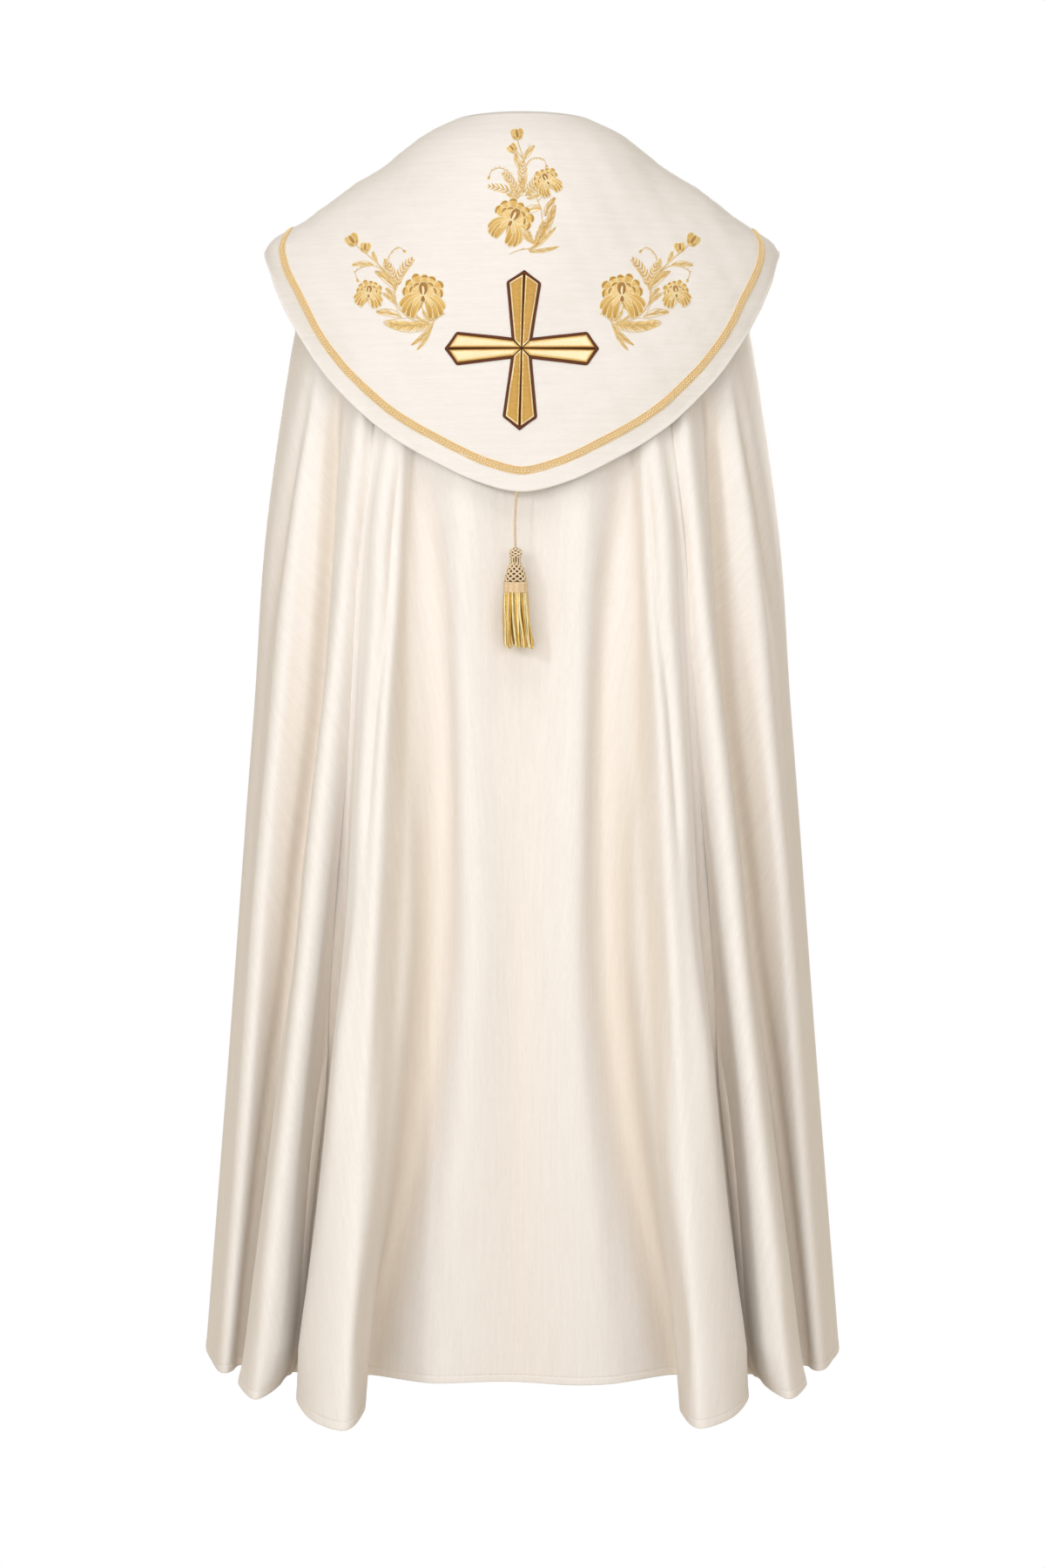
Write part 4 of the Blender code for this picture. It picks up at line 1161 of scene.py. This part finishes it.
def draw_bud(bud):
    """A closed bud: two petals round a darker one, in a cup of two small leaves."""
    *place, size, heading = bud
    parts = []
    for turn, tone in ((34, 0.62), (-34, 0.50)):
        parts += petal(place, heading + turn, size * 0.92, size * 0.58, -turn * 0.9, tone, fade=0.1)
    parts += petal(place, heading, size * 0.84, size * 0.34, 6, 0.10, lift=0.0003)
    for turn in (75, -70):
        parts += petal(
            place, heading + turn, size * 0.55, size * 0.24, -turn * 0.8, 0.3, 1.5, 1.0, 0.0004,
            outline=0.7, columns=5, count=9)
    return parts


def draw_bloom(bloom):
    """A flower seen from the side: scalloped petals behind, arched ones at its sides, and an amber cup."""
    *place, size, heading, spread = bloom
    parts = []
    for turn, bend, *layer, lift in BLOOM_LAYERS:
        length, width, tone, fade = (value / 100 for value in layer)
        lift = lift / 10000
        behind = abs(turn) > BLOOM_BACK
        out = heading + turn * (1 if behind else spread / BLOOM_SPREAD)
        parts += petal(
            place, out, size * length, size * width, bend, tone, fat=1.5, lift=lift, furrow=0.3, fade=fade,
            outline=1.05 if width > 0.1 else 0.0)
        if behind:
            edge = aimed(aimed(place, out, size * (length - 0.09)), out - 100, size * width * 0.42)
            shape = (size * width * 0.95, size * 0.09, 86, 0.10, 2.0, 1.0)
            parts += petal(edge, out + 52, *shape, lift + 0.0003, outline=0.0)
    for turn, tone in ((152, 0.02), (-156, -0.04)):
        shape = (size * 0.50, size * 0.24, turn * 0.34, tone)
        parts += petal(place, heading + turn, *shape, lift=0.0011, fade=0.16)
    shape = (size * 0.36, size * 0.09, 30, 0.95, 2.0, 1.0)
    return parts + petal(place, heading + 170, *shape, 0.0015, outline=0.0)


def draw_stem(stem):
    """A plain line of thread, thinner towards its end."""
    line = smooth_line(stem.places, 22)
    return [thread(line, stem.half * np.linspace(1.15, 0.75, 22), RIB_HIGH, 0.0004, 0.72)]


def draw_tendril(tendril):
    """A curling line with short hairs, and a drop at its end."""
    line = smooth_line(tendril.places, 26)
    parts = [thread(line, 0.45, RIB_HIGH, 0.0004, 0.7)]
    aside = aside_of(line)
    for i in range(tendril.dots):
        at = 3 + i * 20 // tendril.dots
        parts += barb(line[at], heading_of(aside[at]), 2.6, 1.1, 20, 0.6, 2.0, 1.3, count=6)
    ahead = heading_of(line[-1] - line[-3])
    return parts + petal(line[-1], ahead, 4.4, 3.0, 0, 0.4, outline=0.0, columns=5, count=9)


DRAWN = {
    Leaf: draw_leaf, Plume: draw_plume, Bloom: draw_bloom,
    Bud: draw_bud, Stem: draw_stem, Tendril: draw_tendril,
}
TOP_SPRAY = (
    Stem(((601, 186), (599, 176), (595, 164), (594, 158)), 0.7),
    Stem(((600, 183), (596, 177), (590, 172)), 0.6),
    Bud(594.5, 160, 14, 96),
    Bud(591, 174, 11, 128),
    Leaf(601, 184, 64, 21, 6.5, -24, 0.50),
    Leaf(597, 194, 116, 19, 6.5, -20, 0.45),
    Stem(((603, 178), (606, 171), (609, 165)), 0.35),
    Tendril(((603, 192), (608, 184), (617, 181), (625, 184), (627, 189)), 7),
    Tendril(((590, 205), (582, 196), (572, 193), (564, 197), (562, 202)), 7),
    Plume(600, 224, 90, 38, 0, 11, 9, 0.55),
    Plume(598, 225, 120, 33, 14, 9, 8, 0.48),
    Plume(603, 225, 62, 30, -14, 9, 7, 0.52),
    Leaf(600, 219, 90, 15, 5.0, 0, 0.20),
    Plume(597, 225, 150, 38, 26, 9, 7, 0.42),
    Plume(604, 225, 32, 25, 18, 7, 6, 0.46),
    Leaf(596, 227, 172, 15, 4.2, -18, 0.50),
    Leaf(605, 228, 8, 15, 4.2, 18, 0.50),
    Bloom(628, 208, 19, -62, 78),
    Stem(((621, 213), (616, 224), (621, 240), (622, 262), (611, 284), (598, 287)), 0.55),
    Stem(((618, 231), (623, 226), (626, 229)), 0.4),
    Bloom(588, 253, 30, -118, 72),
    Leaf(602, 243, 24, 20, 9.5, -20, 0.50),
    Leaf(596, 262, -58, 26, 5.0, 26, 0.42),
    Leaf(600, 260, -38, 22, 4.5, -40, 0.46),
    Plume(613, 283, 60, 30, 12, 9, 7, 0.35),
    Leaf(613, 284, 54, 55, 9.5, 18, 0.34),
    Leaf(626, 248, 76, 24, 7.5, -30, 0.34),
    Leaf(607, 288, 34, 42, 5.5, 14, 0.52),
    Leaf(608, 289, 2, 34, 4.6, 16, 0.50),
    Stem(((602, 285), (594, 288), (585, 292)), 0.5),
)
SIDE_SPRAY = (
    Stem(((454, 336), (448, 318), (432, 301), (412, 284), (407, 279)), 0.7),
    Stem(((434, 302), (422, 292), (419, 286)), 0.6),
    Bud(408, 281, 15, 122),
    Bud(419, 289, 12, 84),
    Leaf(429, 304, 168, 25, 6.5, 26, 0.52),
    Leaf(433, 302, 118, 14, 5.0, -16, 0.48),
    Leaf(443, 309, 98, 12, 4.0, -10, 0.44),
    Tendril(((444, 310), (446, 296), (452, 287), (459, 284), (463, 287)), 8),
    Tendril(((440, 310), (428, 305), (416, 307), (408, 313), (410, 320)), 8),
    Plume(456, 330, 84, 38, -46, 10, 8, 0.40),
    Plume(455, 331, 100, 30, 16, 9, 7, 0.46),
    Leaf(450, 322, 140, 20, 5.0, -22, 0.50),
    Leaf(455, 333, 122, 33, 9.0, 34, 0.42),
    Leaf(454, 345, 112, 18, 6.0, 34, 0.40),
    Leaf(456, 350, 128, 20, 5.0, 30, 0.52),
    Bloom(424, 337, 19, -96, 92),
    Stem(((432, 336), (443, 337), (451, 346), (457, 357)), 0.5),
    Stem(((453, 330), (454, 344), (461, 358), (474, 367), (492, 369), (511, 360)), 0.6),
    Bloom(486, 339, 31, -92, 88),
    Leaf(478, 362, -62, 15, 4.0, 60, 0.50),
    Leaf(486, 356, -84, 17, 4.2, 70, 0.48),
    Leaf(490, 354, -50, 18, 4.0, -20, 0.50),
    Leaf(461, 364, 152, 30, 9.0, 34, 0.44),
    Leaf(498, 371, 190, 58, 17.0, -22, 0.46),
    Plume(496, 372, 191, 48, -20, 11, 11, 0.52),
    Leaf(497, 373, 236, 34, 5.5, -26, 0.44),
    Leaf(495, 377, 248, 30, 4.6, -22, 0.50),
)


def build_spray(name, elements, mirror=False):
    """A spray from its elements, laid on the hood where the photograph shows it, or on the other side."""
    spray = merged([part for element in elements for part in DRAWN[type(element)](element)])
    if mirror:
        spray.points[:, 0] = PHOTO_SIZE[0] - spray.points[:, 0]
        spray = spray._replace(faces=[face[::-1] for face in spray.faces])
    return add_part(name, laid_as_seen(spray, HOOD_TREE), SPRAY_THREAD, slot="hood_galloon")


sprays = [
    build_spray("spray_upper", TOP_SPRAY),
    build_spray("spray_left", SIDE_SPRAY),
    build_spray("spray_right", SIDE_SPRAY, mirror=True),
]

# ---- the tassel: its parts hang round an axis, at drops below its knot ----
KNOT_TOP_Z = -0.4930
CORD_RADIUS = 0.0015
CORD_SWAY = 0.0012        # how far aside it bows
CORD_IN = 0.0600          # how far the cord runs on inside the tassel
HEAD_DROPS = (0.0, 0.0020, 0.0058, 0.0098, 0.0120, 0.0160, 0.0220, 0.0300, 0.0379)
HEAD_RADII = (0.0030, 0.0062, 0.0078, 0.0066, 0.0056, 0.0060, 0.0092, 0.0118, 0.0127)
HEAD_END = 0.0376
HEAD_NETS = (             # start, end, cords, turns, cord's radius, depth in the head, tone
    (0.0006, 0.0112, 6, 0.5, 0.0008, 0.0007, 0.84),
    (0.0165, HEAD_END, 9, 0.42, 0.0010, 0.0008, 0.72),
)
HEAD_CORE_IN = 0.0014     # from the net to the core inside it
HEAD_LOOPS = 13           # short cords over the head's waist
HEAD_WAIST = (0.0098, 0.0178)
BAND_TOP = 0.0382
BAND_END = 0.0497
BAND_RADIUS = 0.0136
BAND_CORE = (0.0122, 0.0126)
BAND_ROWS = 5
BAND_CORDS = 40
FRINGE_END = 0.1135
FRINGE_CORE = (0.0085, 0.0095)
FRINGE_LEAN = 0.0036      # how far the strands' ends hang aside
FRINGE_RINGS = (          # strands, radius at the top and at the bottom, and a strand's own
    (19, 0.0098, 0.0118, 0.0016),
    (29, 0.0124, 0.0158, 0.0015),
)


def build_head(axis):
    """A core in a net of crossing cords, with short upright cords round its waist."""
    core = np.linspace(0.0, HEAD_END, 26)
    radii = np.maximum(np.interp(core, HEAD_DROPS, HEAD_RADII) - HEAD_CORE_IN, 0.0018)
    # painted shade: the core is painted dark so that the gaps in the net look shaded
    parts = [turned(axis, core, radii, 24, -0.1)]
    for start, end, cords, turns, radius, cut, tone in HEAD_NETS:
        drops = np.linspace(start, end, 22)
        share = (drops - start) / (end - start)
        for hand in (-1, 1):
            rim = np.interp(drops, HEAD_DROPS, HEAD_RADII) - cut
            rim = rim + 0.0003 * np.cos(share * tau * cords * turns + hand)
            for i in range(cords):
                angle = tau * (i + 0.25 * hand) / cords + hand * turns * tau * share
                shade = tone + 0.08 * sin(i * 2.1 + hand)
                parts.append(tube(round_axis(axis, rim, angle, drops), radius, 5, tone=shade))
    drops = np.linspace(*HEAD_WAIST, 6)
    rim = np.interp(drops, HEAD_DROPS, HEAD_RADII) - 0.0002
    for i in range(HEAD_LOOPS):
        path = round_axis(axis, rim, tau * i / HEAD_LOOPS, drops)
        parts.append(tube(path, 0.00085, 5, tone=0.70 + 0.2 * sin(i * 3.3)))
    return add_part("tassel_netted_head", merged(parts), TASSEL_THREAD, "tassel_head")


def build_band(axis):
    """Woven rows of short slanting cords."""
    parts = [turned(axis, (BAND_TOP, BAND_END), BAND_CORE, 24, 0.35)]
    tall = (BAND_END - BAND_TOP) / BAND_ROWS
    rim = BAND_RADIUS - 0.0010 + 0.0005 * np.sin(np.linspace(0, pi, 6))
    for row in range(BAND_ROWS):
        drops = BAND_TOP + tall * (row + np.linspace(0.06, 0.94, 6))
        lean = (0.12 if row % 2 else -0.12) * np.linspace(-0.5, 0.5, 6)
        for i in range(BAND_CORDS):
            path = round_axis(axis, rim, tau * (i + 0.5 * row) / BAND_CORDS + lean, drops)
            parts.append(tube(path, 0.0010, 6, tone=0.60 + 0.1 * sin(i * 1.9 + row)))
    return add_part("tassel_woven_band", merged(parts), TASSEL_THREAD, "tassel_band")


def build_fringe(axis):
    """Two rings of twisted strands round a core, with uneven ends."""
    # painted shade: the core is painted darker than the strands so that the gaps between them look shaded
    parts = [turned(axis, (BAND_END, FRINGE_END - 0.006), FRINGE_CORE, 16, 0.30)]
    for count, top, low, thick in FRINGE_RINGS:
        for i in range(count):
            angle = tau * (i + RNG.uniform(-0.2, 0.2)) / count
            drop = np.linspace(BAND_END - 0.0012, FRINGE_END - RNG.uniform(0.0, 0.0045), 34)
            share = (drop - drop[0]) / (drop[-1] - drop[0])
            wave = 0.0009 * np.sin(share * RNG.uniform(3.0, 7.0) + RNG.uniform(0, 6.28)) * share
            swing = angle + 0.10 * np.sin(share * RNG.uniform(2.0, 5.0) + RNG.uniform(0, 6.28)) * share
            path = round_axis(axis, top + (low - top) * share + wave, swing, drop)
            path[:, 0] -= FRINGE_LEAN * share ** 2
            radius = thick * (1 - 0.5 * np.clip((share - 0.96) / 0.04, 0, 1))
            parts.append(tube(path, radius, 8, 2, 260, 0.22, tone=RNG.uniform(0.35, 1.35)))
    return add_part("tassel_strands", merged(parts), FRINGE_THREAD, "tassel_fringe")


def build_tassel():
    """The cord from the hood's edge down into the tassel, and the tassel."""
    low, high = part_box("tassel_head")
    axis = np.array([(low.x + high.x) / 2, (low.y + high.y) / 2, KNOT_TOP_Z])
    top = np.array([axis[0] - 0.0014, axis[1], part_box("tassel_cord")[1].z - 0.0001])
    share = np.linspace(0, 1, 40)[:, None]
    hanging = top + (axis - top) * share + CORD_SWAY * np.sin(pi * share) * (1, 0, 0)
    path = np.concatenate([hanging, axis + np.linspace(0, 1, 14)[1:, None] * (0, 0, -CORD_IN)])
    runs = running_length(path)
    smooth = points_along(path, runs, np.linspace(0, runs[-1], 230))
    part = tube(smooth, CORD_RADIUS, 14, 2, 620, 0.45, 0.55)
    cord = add_part("tassel_twisted_cord", part, CORD_THREAD, "tassel_cord")
    build_head(axis)
    build_band(axis)
    build_fringe(axis)


build_tassel()

# ---- the tab that closes the front ----
TAB_CORNER = 0.007
TAB_HALF_THICK = 0.0010
TAB_SEAM_IN = 0.0055      # from its edge to its stitches
TAB_FULL_IN = 0.0028      # and to its fullest line
TAB_GRID = (35, 61)
TAB_INSIDE = 0.0006       # the cloth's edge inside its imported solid
TAB_PASSES = 12           # that even out its face
TAB_FULL = 0.0004         # rise of its fullest line over its face
TAB_DRAWN = 0.0003        # and how far the stitches draw it in


def seen_in_front(tree, x, z, y):
    """Points of a surface in front of the wearer, at places in X and Z."""
    starts = np.stack([x.ravel(), np.full(x.size, y), z.ravel()], axis=1)
    return cast(tree, starts, (0.0, 1.0, 0.0))[0].reshape(x.shape + (3,))


def build_tab():
    """A doubled tab with rounded corners, a full edge and a row of stitches inside it."""
    low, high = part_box("morse_tab")
    reach, tall = ((high[i] - low[i]) / 2 - TAB_INSIDE for i in (0, 2))
    middle_x, middle_z = ((high[i] + low[i]) / 2 for i in (0, 2))
    s, t = (np.sin(np.linspace(-1, 1, count) * pi / 2) for count in TAB_GRID)
    s, t = np.meshgrid(s, t, indexing="ij")
    up = -s * tall
    past = np.maximum(np.abs(up) - (tall - TAB_CORNER), 0)
    wide = reach - TAB_CORNER + np.sqrt(np.maximum(TAB_CORNER ** 2 - past ** 2, 0))
    side = t * wide
    to_edge = np.minimum(tall - np.abs(up), wide - np.abs(side))
    tree = surface_of(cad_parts["morse_tab"])
    face = seen_in_front(tree, middle_x + side, middle_z + up, low.y - 0.5)
    y = face[..., 1]
    for _ in range(TAB_PASSES):
        y[1:-1, 1:-1] = (y[2:, 1:-1] + y[:-2, 1:-1] + y[1:-1, 2:] + y[1:-1, :-2]) / 4
    drop = TAB_HALF_THICK * (1 - np.sqrt(np.maximum(1 - np.clip(1 - to_edge / TAB_HALF_THICK, 0, 1) ** 2, 0)))
    full = TAB_FULL * np.exp(-((to_edge - TAB_FULL_IN) / 0.0018) ** 2)
    full = full - TAB_DRAWN * np.exp(-((to_edge - TAB_SEAM_IN) / 0.0008) ** 2)
    out = (0.0, -1.0, 0.0)
    front = face + np.multiply.outer(full - drop, out)
    back = face + np.multiply.outer(drop - 2 * TAB_HALF_THICK, out)
    part = wall(front, back, np.stack([side, up], axis=-1), flip=True)
    tab = add_part("morse_tab_cloth", part, CLOTH_BODY, "morse_tab")
    angle = np.linspace(0, tau, 241)
    corner = TAB_CORNER - TAB_SEAM_IN * 0.5
    ring_x, ring_z = (
        np.clip(wave * 9, -1, 1) * (half - TAB_SEAM_IN - corner) + wave * corner
        for wave, half in ((np.cos(angle), reach), (np.sin(angle), tall)))
    line = seen_in_front(surface_of(tab), middle_x + ring_x, middle_z + ring_z, low.y - 0.5)
    seam = stitches(line, 0.0034, 0.0026, 0.00035)
    return tab, add_part("morse_stitching", seam, STITCH_THREAD, slot="morse_tab")


tab, tab_stitching = build_tab()

# ---- camera, light and floor ----
LIGHT_COLOUR = (0.965, 0.972, 1.0)
FILL_COLOUR = (1.0, 0.87, 0.69, 1)
FILL = 0.54               # strength of the light all round
FLOOR_HALF = 12.0
FLOOR_DROP = 0.085        # under the hem


def placed(name, data, place):
    """An object in the scene, at a place."""
    made = bpy.data.objects.new(name, data)
    made.location = place
    bpy.context.collection.objects.link(made)
    return made


def add_camera():
    """The photograph's camera, behind the wearer."""
    camera = bpy.data.cameras.new("camera")
    camera.lens = CAMERA_LENS
    camera.sensor_fit = "VERTICAL"
    camera.sensor_height = CAMERA_SENSOR
    made = placed("camera", camera, CAMERA_PLACE)
    made.rotation_euler = (pi / 2 - CAMERA_PITCH, 0, pi)
    bpy.context.scene.camera = made


def add_light(name, place, aim, size, power, colour=LIGHT_COLOUR):
    """A rectangular light aimed at a place."""
    light = bpy.data.lights.new(name, "AREA")
    light.shape = "RECTANGLE"
    light.size, light.size_y = size
    light.energy = power
    light.color = colour
    made = placed(name, light, place)
    made.rotation_euler = (Vector(aim) - Vector(place)).to_track_quat("-Z", "Y").to_euler()
    made.visible_camera = False


def mix_for_camera(tree, lit_by, seen, output):
    """Feeds an output with one shader to be lit by and another to look at."""
    path = tree.nodes.new("ShaderNodeLightPath")
    mix = tree.nodes.new("ShaderNodeMixShader")
    tree.links.new(path.outputs["Is Camera Ray"], mix.inputs["Fac"])
    tree.links.new(lit_by.outputs[0], mix.inputs[1])
    tree.links.new(seen.outputs[0], mix.inputs[2])
    tree.links.new(mix.outputs["Shader"], tree.nodes[output].inputs["Surface"])


def add_floor():
    """A floor that is white to look at, and a dimmer warm one to be lit by."""
    floor = Finish("floor", (0.62, 0.56, 0.47), 0.9, 0.1)
    mix_for_camera(floor.material.node_tree, floor.surface, floor.node("Emission"), "Material Output")
    z = CAD_BOX[0].z - FLOOR_DROP
    corners = [(x * FLOOR_HALF, y * FLOOR_HALF, z) for x, y in ((-1, -1), (1, -1), (1, 1), (-1, 1))]
    add_mesh("floor", corners, [(0, 1, 2, 3)], floor.material)


def add_world():
    """A white surround to look at, and a dimmer warm one to be lit by."""
    world = bpy.data.worlds.new("studio")
    world.use_nodes = True
    seen = world.node_tree.nodes["Background"]
    fill = world.node_tree.nodes.new("ShaderNodeBackground")
    for node, colour, strength in ((seen, (1, 1, 1, 1), 1.0), (fill, FILL_COLOUR, FILL)):
        node.inputs["Color"].default_value = colour
        node.inputs["Strength"].default_value = strength
    mix_for_camera(world.node_tree, fill, seen, "World Output")
    bpy.context.scene.world = world


add_camera()
add_world()
add_floor()
add_light("key", (0.3, 4.0, -0.05), (0.0, 0.1, -0.6), (5.0, 1.5), 86)
add_light("top", (0.0, 2.2, 3.0), (0.0, 0.0, -0.4), (3.0, 2.0), 45)
add_light("front", (-0.6, -4.2, 0.3), (0.0, -0.1, -0.6), (5.0, 1.5), 130)
add_light("left", (2.0, 3.0, 0.6), (0.0, 0.1, -0.6), (0.4, 0.4), 18, (1, 1, 1))
bpy.context.scene.view_settings.view_transform = "Standard"
